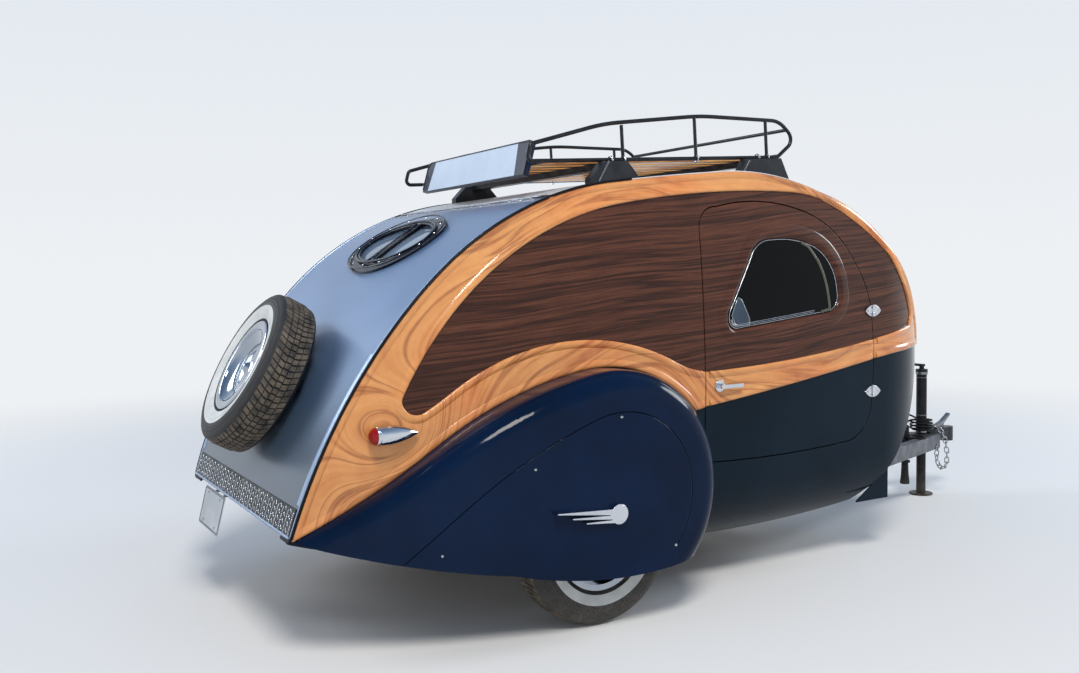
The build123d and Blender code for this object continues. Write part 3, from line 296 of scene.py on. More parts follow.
def finishSurface(tree, shader, colour, roughness, height, bump, edge):
    normal = addNode(tree, "Bevel", {0: edge}, samples=bevelSamples).outputs[0]
    relief = {"Strength": bump, "Distance": bumpHeight, "Height": height, "Normal": normal}
    raised = addNode(tree, "Bump", relief).outputs[0]
    plug(tree, shader, {"Base Color": colour, "Roughness": roughness, "Normal": raised,
                        "Coat Normal": normal})


def clouded(tree, wear, first, second, low=0.35, high=0.65):
    return mixColour(tree, remap(tree, wear["Cloud"], low, high), first, second)


# name: colour, second colour, roughness, spread, metallic, coat, bump, edge radius, cloud scale, dust top
finishes = {
    "navyPaint": ((6, 22, 33), (9, 28, 41), 0.22, 0.06, 0, 1, 0.02, 0.002, 3, 0.12),
    "fenderPaint": ((4, 20, 43), (6, 27, 55), 0.16, 0.05, 0, 1, 0.015, 0.0035, 3, 0.12),
    "roofPaint": ((199, 205, 211), (207, 212, 217), 0.38, 0.05, 0.2, 0.3, 0.04, 0.002, 4, 0.2),
    "edgeStrip": ((140, 160, 188), (152, 170, 196), 0.36, 0.08, 0.5, 0, 0.04, 0.001, 8, 0.2),
    "treadPlate": ((58, 62, 65), (44, 48, 50), 0.42, 0.16, 0.9, 0, 0.06, 0.001, 14, 0.5),
    "floorPly": ((120, 98, 72), (96, 78, 58), 0.7, 0.2, 0, 0, 0.2, 0.001, 9, 0.5),
    "underbodyBlack": ((26, 26, 28), (34, 34, 35), 0.55, 0.2, 0, 0, 0.2, 0.002, 12, 0.5),
    "frameGrey": ((116, 119, 124), (92, 95, 100), 0.45, 0.25, 0.5, 0, 0.12, 0.003, 16, 0.36),
    "couplerSteel": ((72, 74, 78), (52, 53, 57), 0.42, 0.25, 0.7, 0, 0.12, 0.003, 22, 0.36),
    "rimChrome": ((176, 183, 192), (164, 172, 182), 0.1, 0.03, 1, 0, 0, 0.001, 6, 0.2),
    "chrome": ((214, 217, 222), (200, 204, 211), 0.09, 0.04, 1, 0, 0, 0.0015, 9, 0),
    "portholeTrim": ((22, 28, 42), (17, 22, 34), 0.28, 0.05, 0.1, 0.3, 0, 0.001, 12, 0),
    "windowBlack": ((24, 25, 27), (32, 33, 35), 0.4, 0.1, 0, 0.2, 0.1, 0.0015, 20, 0),
    "carrierBlack": ((30, 30, 33), (40, 40, 43), 0.4, 0.15, 0.2, 0.1, 0.1, 0.002, 16, 0),
    "rackGraphite": ((52, 54, 58), (40, 42, 46), 0.36, 0.14, 0.4, 0.2, 0.08, 0.002, 18, 0),
    "rackTube": ((30, 31, 34), (42, 43, 46), 0.28, 0.12, 0.3, 0.5, 0.04, 0.001, 18, 0),
    "barAlloy": ((118, 122, 126), (102, 106, 110), 0.36, 0.12, 0.9, 0, 0.05, 0.002, 20, 0),
    "boardPale": ((176, 193, 212), (188, 203, 220), 0.34, 0.08, 0, 0.4, 0.03, 0.001, 5, 0),
    "boardNavy": ((24, 34, 54), (30, 42, 64), 0.3, 0.08, 0, 0.5, 0.03, 0.001, 5, 0),
    "platePaint": ((186, 190, 193), (170, 174, 178), 0.32, 0.1, 0.1, 0.3, 0.04, 0.001, 9, 0.45),
    "jackSteel": ((150, 152, 156), (120, 122, 126), 0.34, 0.2, 0.9, 0, 0.1, 0.001, 30, 0.3),
    "jackBlack": ((26, 26, 28), (36, 36, 38), 0.42, 0.2, 0.1, 0.1, 0.1, 0.002, 20, 0.3),
    "hingeSteel": ((176, 182, 190), (150, 156, 166), 0.3, 0.14, 0.95, 0, 0.08, 0.0007, 30, 0),
    "chainZinc": ((176, 178, 180), (132, 133, 134), 0.3, 0.22, 1, 0, 0.1, 0.0005, 60, 0.2),
    "cableBlack": ((24, 24, 25), (32, 32, 33), 0.5, 0.1, 0, 0, 0.15, 0.0005, 30, 0.3),
    "plugBlack": ((28, 28, 30), (38, 38, 40), 0.46, 0.14, 0, 0, 0.15, 0.001, 30, 0.3),
    "sealBlack": ((14, 15, 17), (22, 23, 26), 0.45, 0.1, 0, 0, 0.1, 0.001, 30, 0),
    "screwSteel": ((196, 199, 204), (160, 163, 168), 0.22, 0.12, 1, 0, 0.05, 0.0004, 60, 0),
    "treadLens": ((190, 194, 200), (160, 164, 170), 0.22, 0.1, 0.95, 0, 0.03, 0.0005, 30, 0),
    "dividerGrey": ((74, 76, 66), (88, 90, 80), 0.45, 0.1, 0, 0.1, 0.05, 0.001, 20, 0),
    "plateRim": ((104, 108, 112), (90, 94, 98), 0.35, 0.1, 0.6, 0, 0.03, 0.0005, 20, 0),
    "ventGlass": ((50, 62, 76), (60, 72, 86), 0.12, 0.05, 0, 0.6, 0, 0.0005, 8, 0),
    "whiteWall": ((206, 208, 206), (190, 192, 191), 0.55, 0.12, 0, 0, 0.12, 0.0005, 14, 0.25),
}
# the coat's index and the base's own shine: a gloss paint shines through its coat alone
shine = {"gloss": (1.19, 0.02), "metal": (1.26, 0.5), "plain": (1.26, 0.12)}
coatRough, dustRough = 0.05, 0.5


def makeFinish(name):
    first, second, roughness, spread, metallic, coat, bump, edge, scale, dustTop = finishes[name]
    coatIndex, level = shine["metal" if metallic > 0.5 else "gloss" if coat == 1 else "plain"]
    made, tree, shader = startMaterial(name, {
        "Metallic": metallic, "Specular IOR Level": level, "Coat Weight": coat, "Coat IOR": coatIndex,
        "Coat Roughness": coatRough})
    wear = groupNode(tree, wearGroup, {"Roughness": roughness, "Spread": spread * 2, "Scale": scale,
                                       "Dust Top": dustTop})
    colour = clouded(tree, wear, screen(*first), screen(*second))
    colour = mixColour(tree, wear["Dust"], colour, dustColour)
    rough = mathNode(tree, "MULTIPLY_ADD", wear["Dust"], dustRough, wear["Roughness"])
    finishSurface(tree, shader, colour, rough, wear["Height"], bump, edge)
    return made


# The golden wood's grain: centres and radii of its ovals, in millimetres from the axle
woodFields = {
    "hull": ((430, 250), (1560, 1410)), "hullLines": 1.4,
    # round the fender and the lamp: centre, radii, height
    "hills": (((60, 330), (760, 560), -0.34), ((-735, 752), (190, 160), 0.44)),
    # straight grain under the door: how it slopes, where it comes in along the body and down it
    "belt": {"slope": -0.07, "x": (300, 700), "z": (1060, 920)},
}


def ovalField(tree, place, centre, radii):  # 0 at the oval's middle and 1 on its line
    middle = at(centre[0], 0, centre[1])
    wide, tall = radii[0] / 1000, radii[1] / 1000
    moved = addNode(tree, "Mapping", {"Vector": place, "Location": (-middle.x / wide, 0, -middle.z / tall),
                                      "Scale": (1 / wide, 0, 1 / tall)})
    return addNode(tree, "VectorMath", {0: moved.outputs[0]}, operation="LENGTH").outputs["Value"]


def hill(tree, distance, height):  # its height at the middle, falling off as a bell
    square = times(tree, distance, distance)
    return times(tree, mathNode(tree, "EXPONENT", times(tree, square, -1.0)), height)


def slopedField(tree, parts, slope):
    return mathNode(tree, "MULTIPLY_ADD", parts[0], slope, parts[2])


def goldenField(tree, place, parts):
    field = times(tree, ovalField(tree, place, *woodFields["hull"]), woodFields["hullLines"])
    for centre, radii, height in woodFields["hills"]:
        field = mathNode(tree, "ADD", field, hill(tree, ovalField(tree, place, centre, radii), height))
    belt = woodFields["belt"]
    alongBody = remap(tree, parts[0], *(at(x, 0, 0).x for x in belt["x"]), smooth=True)
    downBody = remap(tree, parts[2], *(z / 1000 for z in belt["z"]), smooth=True)
    share = times(tree, alongBody, downBody)
    straight = times(tree, slopedField(tree, parts, belt["slope"]), share)
    return mathNode(tree, "ADD", times(tree, field, mathNode(tree, "SUBTRACT", 1.0, share)), straight)


# Woods: tones along the rings, then layers over them. A layer's source is a grain's line or a noise's scale
# and detail, from low to high of it, and the most of its tone that it lays on; without a source it is even.
woods = {
    "goldenWood": {
        "shader": {"Coat Weight": 1, "Coat Roughness": 0.06, "Coat IOR": 1.35, "Specular IOR Level": 0.2},
        "across": goldenField,
        "grain": {"Warp": 0.3, "Rings": 6.5, "Fine": 60, "Stretch": 0.5, "Drift": 1.5},
        "tones": {"light": screen(216, 154, 92), "mid": screen(198, 130, 74), "deep": screen(170, 97, 52),
                  "line": screen(116, 58, 33), "red": screen(206, 104, 50)},
        "rings": ((0.25, "deep"), (0.36, "mid"), (0.44, "light"), (0.462, "line"), (0.485, "mid"),
                  (0.535, "light"), (0.56, "mid"), (0.578, "line"), (0.6, "mid"), (0.68, "light"),
                  (0.76, "deep")),
        "layers": ((None, 0, 1, 0.35, "mid", "MIX"), ("Fine", 0.38, 0.72, 0.26, "deep", "MIX"),
                   ((3.2, 2.0), 0.42, 0.72, 0.35, "red", "MIX"),
                   ((24.0, 3.0), 0.35, 0.65, 0.12, "light", "SCREEN")),
        "rough": (0.26, 0.4), "bump": 0.05, "edge": 0.006,
    },
    "walnut": {
        "shader": {"Coat Weight": 1, "Coat Roughness": 0.07, "Coat IOR": 1.26, "Specular IOR Level": 0.05},
        "across": lambda tree, place, parts: slopedField(tree, parts, -0.1),
        "grain": {"Warp": 0.07, "Rings": 19, "Fine": 170, "Stretch": 0.42, "Drift": 1.6},
        "tones": {"dark": screen(42, 22, 16), "mid": screen(73, 41, 29), "light": screen(93, 55, 39),
                  "pore": screen(26, 13, 10)},
        "rings": ((0.3, "light"), (0.41, "mid"), (0.452, "dark"), (0.466, "mid"), (0.505, "light"),
                  (0.55, "mid"), (0.585, "dark"), (0.598, "mid"), (0.66, "light"), (0.72, "mid")),
        "layers": (("Fine", 0.4, 0.68, 0.62, "dark", "MIX"), ("Pores", 0, 1, 0.5, "pore", "MIX")),
        "rough": (0.3, 0.45), "bump": 0.06, "edge": 0.0025,
    },
    "slatWood": {
        "shader": {"Coat Weight": 0.6, "Coat Roughness": 0.12},
        "across": lambda tree, place, parts: parts[1],
        "grain": {"Warp": 0.03, "Rings": 60, "Fine": 300},
        "tones": {"deep": screen(176, 112, 54), "light": screen(226, 164, 88), "line": screen(150, 88, 40),
                  "mid": screen(214, 148, 76)},
        "rings": ((0.3, "deep"), (0.5, "light"), (0.6, "line"), (0.7, "mid")),
        "layers": (),
        "rough": (0.35, 0.5), "bump": 0.15, "edge": 0.002,
    },
}


fineSpan = (0.3, 0.7)  # where a fine noise begins and is full


def makeWood(name):
    wood = woods[name]
    tones = wood["tones"]
    made, tree, shader = startMaterial(name, wood["shader"])
    place, parts = objectPlace(tree)
    lines = {"Position": place, "Across": wood["across"](tree, place, parts), "Along": parts[0]}
    grain = groupNode(tree, grainGroup, {**lines, **wood["grain"]})
    colour = rampNode(tree, grain["Rings"], [(share, tones[tone]) for share, tone in wood["rings"]])
    for source, low, high, most, tone, blend in wood["layers"]:
        share = most
        if source:
            value = grain[source] if isinstance(source, str) else noise(tree, place, *source)
            share = remap(tree, value, low, high, 0.0, most)
        colour = mixColour(tree, share, colour, tones[tone], blend)
    rough = remap(tree, grain["Fine"], *fineSpan, *wood["rough"])
    finishSurface(tree, shader, colour, rough, grain["Fine"], wood["bump"], wood["edge"])
    return made


hatchSkin = {
    "shader": {"Coat Weight": 0.3, "Coat Roughness": 0.2, "Metallic": 0.5},
    "wear": {"Roughness": 0.33, "Spread": 0.2, "Scale": 3, "Dust Top": 0.5},
    "upper": (screen(100, 130, 170), screen(110, 139, 178)),
    # painted shade and painted reflection: darker colours low on the hatch stand in for shadow and a dark
    # horizon's reflection
    "lower": (screen(68, 84, 100), screen(77, 93, 109)),
    # metres above the ground where the upper colours end and the painted shade's darker lower colours begin
    "change": (1.25, 0.55),
    "brush": {"scale": (900, 14, 900), "colour": screen(76, 96, 122), "most": 0.12},
    "bump": 0.03, "edge": 0.002,
}


def makeHatchSkin():
    made, tree, shader = startMaterial("hatchSkin", hatchSkin["shader"])
    place, parts = objectPlace(tree)
    wear = groupNode(tree, wearGroup, hatchSkin["wear"])
    brush = hatchSkin["brush"]
    drawn = addNode(tree, "Mapping", {"Vector": place, "Scale": brush["scale"]}).outputs[0]
    lines = noise(tree, drawn, 1.0, 2.0)
    upper, lower = clouded(tree, wear, *hatchSkin["upper"]), clouded(tree, wear, *hatchSkin["lower"])
    # painted shade: the hatch's colour darkens towards the ground, from the upper colours into the painted
    # shade's lower ones
    colour = mixColour(tree, remap(tree, parts[2], *hatchSkin["change"], smooth=True), upper, lower)
    colour = mixColour(tree, remap(tree, lines, *fineSpan, 0.0, brush["most"]), colour, brush["colour"])
    finishSurface(tree, shader, colour, wear["Roughness"], lines, hatchSkin["bump"], hatchSkin["edge"])
    return made


# colour, second colour, where the cloud is full, dust's share, bump, edge radius, wear
rubbers = {
    "tyreRubber": (screen(19, 20, 22), screen(36, 35, 34), 0.7, 1, 0.25, 0.0008,
                   {"Roughness": 0.62, "Spread": 0.25, "Scale": 18, "Dust Top": 0.3}),
    "treadRubber": (screen(48, 45, 41), screen(100, 89, 75), 0.62, 0, 0.4, 0.0012,
                    {"Roughness": 0.7, "Spread": 0.2, "Scale": 26, "Dust Top": 0.5}),
}


def makeRubber(name):
    first, second, full, dusty, bump, edge, worn = rubbers[name]
    made, tree, shader = startMaterial(name, {})
    wear = groupNode(tree, wearGroup, worn)
    colour = clouded(tree, wear, first, second, high=full)
    if dusty:
        colour = mixColour(tree, wear["Dust"], colour, dustColour)
    finishSurface(tree, shader, colour, wear["Roughness"], wear["Height"], bump, edge)
    return made


# colour, share that passes through, index
glasses = {"darkGlass": ((5, 7, 8), 0.15, 1.2), "paleGlass": ((120, 138, 160), 0.25, 1.4),
           "lampRed": ((170, 10, 16), 0.45, 1.4)}
glassWear = {"Roughness": 0.03, "Spread": 0.03, "Scale": 3, "Dust Top": 0}
glassLift = 1.25


def makeGlass(name):
    tint, clear, index = glasses[name]
    made, tree, shader = startMaterial(name, {"Transmission Weight": clear, "IOR": index})
    wear = groupNode(tree, wearGroup, glassWear)
    first = screen(*tint)
    second = tuple(value * glassLift for value in first[:3]) + (1,)
    plug(tree, shader, {"Base Color": clouded(tree, wear, first, second), "Roughness": wear["Roughness"]})
    return made


makers = ((finishes, makeFinish), (woods, makeWood), (rubbers, makeRubber), (glasses, makeGlass))
materials = {name: makeOne(name) for table, makeOne in makers for name in table}
materials["hatchSkin"] = makeHatchSkin()

# A slot's finish has the slot's name in camelCase, apart from these slots and these nodes
slotFinish = {"wood_trim": "goldenWood", "tyre": "tyreRubber", "window_trim": "windowBlack",
              "window_glass": "darkGlass", "board_paint": "boardPale"}
nodeFinish = {"sign_board": "boardNavy", "coupler": "couplerSteel", "rack_basket": "rackTube",
              "porthole_pane": "paleGlass", "jack_tube": "jackBlack", "axle": "underbodyBlack",
              "cable_fittings": "jackBlack", "frame_skirts": "navyPaint", "jack_leg": "jackBlack"}


def dressNodes():
    for row in frame["record"]["subparts"]:
        node, slot = nodes[row["node"]], row["material_slot"]
        first, *others = slot.split("_")
        plain = first + "".join(word.title() for word in others)
        finish = materials[nodeFinish.get(row["node"], slotFinish.get(slot, plain))]
        for holder in node.material_slots:
            holder.material = finish
    print("materials ready:", len(materials))


dressNodes()

# The lead: out of its gland, round the jack's tube and into its plug, millimetres as in the part
cable = {
    "leadIn": ((2640, 60, 357), (2640, 60, 385), (2641, 47, 407), (2646, 20, 420), (2650, -8, 421)),
    "leadOut": ((2675, 40, 436), (2636.7, 26.5, 445.5), (2601.6, 13, 459), (2579.7, 4.5, 450.7),
                (2568, 0, 429), (2568, 0, 402)),
    "axis": (2700, 0), "diameter": 10, "start": 189, "end": 1922, "perTurn": 16,
    # share of the winding, radius, height
    "winding": ((0.0, 50.5, 421), (0.05, 55, 419), (0.22, 58.5, 405), (0.45, 60, 385), (0.7, 60, 366),
                (0.76, 52, 361.5), (0.82, 41, 364), (0.9, 38, 388), (0.96, 40, 415), (1.0, 46.5, 435)),
    # the smooth curve's length as a share of its control points' length, and how finely it is made
    "smooth": 0.985, "stretches": 8, "round": 4,
}


def coilPoints():
    rows = cable["winding"]
    turn = cable["end"] - cable["start"]
    count = round(turn / 360 * cable["perTurn"])
    middleX, middleY = cable["axis"]
    for i in range(1, count):
        share = i / count
        before, after = next((a, b) for a, b in zip(rows, rows[1:]) if a[0] <= share <= b[0])
        mix = (share - before[0]) / (after[0] - before[0])
        radius, height = (before[k] + (after[k] - before[k]) * mix for k in (1, 2))
        angle = math.radians(cable["start"] + turn * share)
        yield middleX + radius * math.cos(angle), middleY + radius * math.sin(angle), height


def makeCable():
    route = [at(*point) for point in (*cable["leadIn"], *coilPoints(), *cable["leadOut"])]
    curve = bpy.data.curves.new("towLead", "CURVE")
    curve.dimensions = "3D"
    curve.resolution_u = cable["stretches"]
    curve.bevel_depth = cable["diameter"] / 2000
    curve.bevel_resolution = cable["round"]
    spline = curve.splines.new("NURBS")
    spline.points.add(len(route) - 1)
    for point, place in zip(spline.points, route):
        point.co = (*place, 1)
    spline.order_u = 3
    spline.use_endpoint_u = True
    curve.materials.append(materials["cableBlack"])
    lead = addToScene("towLead", curve)
    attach(lead, "root")
    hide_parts("cable_lead", "cable_coil")
    print("lead ready")


makeCable()

# Ways of making pieces. A line is a list of places, each with the direction out of the surface there.
weld, seam = 1e-6, 1e-5  # distances within which points are joined, metres
beside = 1500  # out past the fenders, millimetres


def pieceFrom(form, name, body, slotName, *finishNames, replaces=None, sharp=30):
    bmesh.ops.remove_doubles(form, verts=form.verts, dist=weld)
    bmesh.ops.recalc_face_normals(form, faces=form.faces)
    mesh = bpy.data.meshes.new(name)
    form.to_mesh(mesh)
    form.free()
    for finish in finishNames:
        mesh.materials.append(materials[finish])
    mesh.shade_smooth()
    mesh.set_sharp_from_angle(angle=math.radians(sharp))
    made = addToScene(name, mesh)
    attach(made, body)
    if replaces:
        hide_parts(replaces)


def surfaceOf(*names):
    form = bmesh.new()
    for name in names:
        form.from_mesh(nodes[name].data)
    tree = BVHTree.FromBMesh(form)
    form.free()
    return tree


def firstHit(tree, start, way):  # where a ray meets a surface, and the direction out towards its start
    place, out, index, distance = tree.ray_cast(start, way)
    if out is not None and out.dot(way) > 0:
        out = -out
    return place, out


def wallPoint(tree, x, z, side):  # on the outside of a side wall
    return firstHit(tree, at(x, side * beside, z), axisY * -side)


def basis(origin, out, along):  # local Z is out, local X is along
    out = out.normalized()
    sideways = out.cross(along).normalized()
    return placed(origin, sideways.cross(out), sideways, out)


def markNew(form, before, index):
    for face in form.faces:
        if face not in before:
            face.material_index = index


def pathFrames(line, closed):  # local Y points out of the surface, local Z along the line
    frames = []
    for i, (place, out) in enumerate(line):
        before = line[i - 1][0] if closed or i else place
        after = line[(i + 1) % len(line)][0] if closed or i + 1 < len(line) else place
        along = (after - before).normalized()
        flat = (out - along * out.dot(along)).normalized()
        frames.append(placed(place, flat.cross(along), flat, along))
    return frames


def trim(form, section, line, closed=True):  # a section swept along a line
    frames = pathFrames(line, closed)
    ring = [form.verts.new(frames[0] @ Vector((x, y, 0))) for x, y in section]
    edges = firstEdges = [form.edges.new(pair) for pair in zip(ring, ring[1:] + ring[:1])]
    for last, following in zip(frames, frames[1:]):
        grown = bmesh.ops.extrude_edge_only(form, edges=edges)["geom"]
        verts = [item for item in grown if isinstance(item, bmesh.types.BMVert)]
        edges = [item for item in grown if isinstance(item, bmesh.types.BMEdge)
                 and item.verts[0] in verts and item.verts[1] in verts]
        bmesh.ops.transform(form, matrix=following @ last.inverted(), verts=verts)
    if closed:
        bmesh.ops.bridge_loops(form, edges=edges + firstEdges)
    else:
        for rim in (firstEdges, edges):
            bmesh.ops.holes_fill(form, edges=rim)


def oval(wide, tall, middle=(0, 0), count=8, turn=0):
    angles = [turn + 2 * math.pi * i / count for i in range(count)]
    return [(middle[0] + wide * math.cos(angle), middle[1] + tall * math.sin(angle)) for angle in angles]


# Corners, then shares of the radius or height. Screw: top, how far in its hollow begins, how deep it is.
# Bolt's washer and head: low radius, high radius, height.
heads = {"screw": (14, 0.72, 0.35, 0.25), "bolt": ((18, 1.5, 1.5, 0.3), (6, 1.0, 0.94, 1.0))}
headTurn = Vector((0.3, 0.2, 0.9))


def addCone(form, home, corners, low, high, tall):  # stands on its base
    stand = home @ Matrix.Translation((0, 0, tall / 2))
    return bmesh.ops.create_cone(form, cap_ends=True, segments=corners, radius1=low, radius2=high,
                                 depth=tall, matrix=stand)["verts"]


def addScrew(form, place, out, radius, height):
    corners, taper, inset, sink = heads["screw"]
    verts = addCone(form, basis(place, out, headTurn), corners, radius, radius * taper, height)
    top = max((face for vert in verts for face in vert.link_faces),
              key=lambda face: (face.calc_center_median() - place).dot(out))
    bmesh.ops.inset_individual(form, faces=[top], thickness=radius * inset, depth=-height * sink)


def addBolt(form, place, out, radius, height):
    for corners, low, high, share in heads["bolt"]:
        addCone(form, basis(place, out, headTurn), corners, radius * low, radius * high, height * share)


def spinProfile(form, rows, home, steps):  # rows of radius and distance along the axle
    verts = [form.verts.new((radius, 0, out)) for radius, out in rows]
    edges = [form.edges.new(pair) for pair in zip(verts, verts[1:])]
    before = set(form.verts) - set(verts)
    bmesh.ops.spin(form, geom=verts + edges, cent=(0, 0, 0), axis=axisZ, angle=2 * math.pi, steps=steps,
                   use_merge=True)
    bmesh.ops.transform(form, matrix=home, verts=[vert for vert in form.verts if vert not in before])


# Tyres: a carcass with a white band, and five ribs of blocks
tyre = {
    "steps": 120, "pitches": 78, "base": 0.298, "top": 0.3044, "blockShare": 0.8, "blockTaper": 0.9,
    # radius and distance from the middle plane, from the bead to the shoulder
    "side": ((0.1665, 0.058), (0.179, 0.06), (0.185, 0.0655), (0.1905, 0.069), (0.192, 0.0712),
             (0.21, 0.0775), (0.227, 0.0822), (0.2285, 0.0808), (0.244, 0.0822), (0.2455, 0.083),
             (0.2475, 0.0822), (0.256, 0.0814), (0.2575, 0.0822), (0.2595, 0.0808), (0.268, 0.0788),
             (0.2695, 0.0796), (0.2715, 0.0778), (0.28, 0.0744), (0.29, 0.069), (0.2965, 0.063)),
    "crownHalf": 0.0605,
    # rib middle, half width, slant of its blocks
    "ribs": ((0.0, 0.0085, 0.0), (0.0225, 0.01, 0.35), (-0.0225, 0.01, -0.35), (0.048, 0.0115, 0.6),
             (-0.048, 0.0115, -0.6)),
    # ribs beyond this are outer ones, this much lower on top and on their outer side, and turned by
    # this share of a pitch
    "outerRib": 0.04, "shoulderDrop": 0.0026, "shoulderSlope": 0.0035, "outerTurn": 0.5,
    # how deep a block stands in the carcass, and where the side wall's outer face begins
    "rooted": 0.002, "face": 0.05,
    "roadWhite": (0.192, 0.228), "spareWhite": (0.192, 0.244),
}
spareHome = basis(at(-989, 0, 914), Vector((-0.875, 0, 0.485)), axisY)


def addBlocks(form, middle, half, slant):  # one block, spun round the rib
    pitch = 2 * math.pi / tyre["pitches"]
    outer = abs(middle) > tyre["outerRib"]
    top = tyre["top"] - (tyre["shoulderDrop"] if outer else 0)
    deep = top - tyre["base"] + tyre["rooted"]
    size = Matrix.Diagonal((deep, top * pitch * tyre["blockShare"], half * 2, 1))
    verts = bmesh.ops.create_cube(form, size=1, matrix=size)["verts"]
    for vert in verts:
        vert.co.y += vert.co.z * slant
        if vert.co.x > 0:
            vert.co.y *= tyre["blockTaper"]
        vert.co.x += tyre["base"] - tyre["rooted"] + deep / 2
        if outer and vert.co.z * middle > 0:
            vert.co.x -= tyre["shoulderSlope"]
        vert.co.z += middle
    if outer:
        turn = Matrix.Rotation(pitch * tyre["outerTurn"], 3, "Z")
        bmesh.ops.rotate(form, verts=verts, cent=(0, 0, 0), matrix=turn)
    parts = (item for vert in verts for item in (vert, *vert.link_edges, *vert.link_faces))
    block = list(dict.fromkeys(parts))
    bmesh.ops.spin(form, geom=block, cent=(0, 0, 0), axis=axisZ, angle=2 * math.pi - pitch,
                   steps=tyre["pitches"] - 1, use_duplicate=True)


def makeTyre(name, body, home, white, node):
    form = bmesh.new()
    side = tyre["side"]
    crown = tuple((tyre["base"], out) for out in (tyre["crownHalf"], 0.0, -tyre["crownHalf"]))
    rows = side + crown + tuple((radius, -out) for radius, out in reversed(side)) + side[:1]
    spinProfile(form, rows, Matrix.Identity(4), tyre["steps"])
    for face in form.faces:
        middle = face.calc_center_median()
        if middle.z > tyre["face"] and white[0] < math.hypot(middle.x, middle.y) < white[1]:
            face.material_index = 1
    carcass = set(form.faces)
    for rib in tyre["ribs"]:
        addBlocks(form, *rib)
    markNew(form, carcass, 2)
    bmesh.ops.transform(form, matrix=home, verts=form.verts)
    pieceFrom(form, name, body, "tyre", "tyreRubber", "whiteWall", "treadRubber", replaces=node)


def makeTyres():
    for word, side in sides:
        lowest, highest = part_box(word + "_tyre")
        home = basis((lowest + highest) / 2, axisY * side, axisZ)
        makeTyre(word + "RoadTyre", word + "_wheel", home, tyre["roadWhite"], word + "_tyre")
    makeTyre("spareRoadTyre", "hatch", spareHome, tyre["spareWhite"], "spare_tyre")
    print("tyres ready")


makeTyres()

# Spare wheel's cap: radius and distance from the tyre's middle plane
spareCap = {
    "outer": ((0.0, 0.062), (0.005, 0.0617), (0.01, 0.06), (0.015, 0.0556), (0.019, 0.05),
              (0.023, 0.0456), (0.028, 0.0433), (0.04, 0.0412), (0.055, 0.0396), (0.07, 0.0386),
              (0.085, 0.0392), (0.096, 0.0414), (0.098, 0.0408), (0.1, 0.0404), (0.102, 0.0415),
              (0.104, 0.0434), (0.115, 0.0464), (0.128, 0.0516), (0.138, 0.057), (0.144, 0.0612),
              (0.147, 0.0634), (0.1482, 0.066), (0.1496, 0.0692), (0.152, 0.0712), (0.156, 0.072),
              (0.166, 0.0728), (0.174, 0.0729), (0.179, 0.0722), (0.1816, 0.0706), (0.182, 0.0692)),
    "inner": ((0.1816, 0.0678), (0.176, 0.0674), (0.155, 0.0666), (0.15, 0.0594), (0.12, 0.0446),
              (0.07, 0.0345), (0.02, 0.04), (0.0, 0.058)),
    "steps": 144,
}


def makeSpareCap():
    form = bmesh.new()
    spinProfile(form, spareCap["outer"] + spareCap["inner"], spareHome, spareCap["steps"])
    bmesh.ops.remove_doubles(form, verts=form.verts, dist=seam)
    pieceFrom(form, "spareWheelCap", "hatch", "chrome", "rimChrome", replaces="spare_cap", sharp=50)
    print("spare cap ready")


makeSpareCap()


# Lines read from the CAD nodes
def rimLoops(name, facing):  # closed lines round the faces that facing picks, with the faces on the left
    form = bmesh.new()
    form.from_mesh(nodes[name].data)
    bmesh.ops.remove_doubles(form, verts=form.verts, dist=seam)
    form.normal_update()
    # a dict keeps their order, so the lines start at the same points in every run
    picked = dict.fromkeys(face for face in form.faces if facing(face.normal, face.calc_center_median()))
    onward = {}
    for face in picked:
        for corner in face.loops:
            if all(other is face or other not in picked for other in corner.edge.link_faces):
                onward[corner.vert] = corner.link_loop_next.vert
    loops = []
    while onward:
        vert = next(iter(onward))
        line = []
        while vert in onward:
            out = sum((face.normal for face in vert.link_faces if face in picked), Vector())
            line.append((vert.co.copy(), out.normalized()))
            vert = onward.pop(vert)
        if len(line) > 3:
            loops.append(line)
    form.free()
    return loops


def evenly(line, step, closed=True):  # the same line with places about one step apart
    line = line + line[:1] if closed else line
    total = sum((b[0] - a[0]).length for a, b in zip(line, line[1:]))
    count = max(3, round(total / step))
    made, travelled, target = [], 0.0, 0.0
    for (a, outA), (b, outB) in zip(line, line[1:]):
        long = (b - a).length
        while long and target <= travelled + long + 1e-9 and len(made) < count + (not closed):
            share = (target - travelled) / long
            made.append((a.lerp(b, share), outA.lerp(outB, share).normalized()))
            target += total / count
        travelled += long
    return made


def runsOf(line, keep):  # the stretches of a closed line that are kept, and whether a stretch is closed
    dropped = [i for i, (place, out) in enumerate(line) if not keep(place)]
    if not dropped:
        return [(line, True)]
    ends = dropped + [dropped[0] + len(line)]
    runs = [(line + line)[low + 1:high] for low, high in zip(ends, ends[1:])]
    return [(run, False) for run in runs if len(run) > 2]


def sideFaces(side, most=0.6):  # picks the faces that look out of one side
    return lambda normal, middle: normal.y * side > most


def boxOf(line):
    return [Vector([pick(place[i] for place, out in line) for i in range(3)]) for pick in (min, max)]


def wideOf(line):
    low, high = boxOf(line)
    return high.x - low.x


# Rounded lips along the golden wood's edges
woodLip = {
    "step": 0.014,
    # across the edge, above the face
    "section": ((-0.0022, -0.003), (-0.0024, 0.001), (-0.001, 0.0036), (0.0025, 0.0056), (0.008, 0.0064),
                (0.015, 0.0052), (0.022, 0.0022), (0.027, -0.0006), (0.027, -0.003)),
    # no lip along the door's upright gaps below this height, millimetres
    "doorGaps": (532, 1461), "gapReach": 8, "gapTop": 985,
}


def clearOfGaps(place):
    gaps = [at(x, 0, 0).x for x in woodLip["doorGaps"]]
    high = place.z > woodLip["gapTop"] / 1000
    return high or all(abs(place.x - gap) > woodLip["gapReach"] / 1000 for gap in gaps)


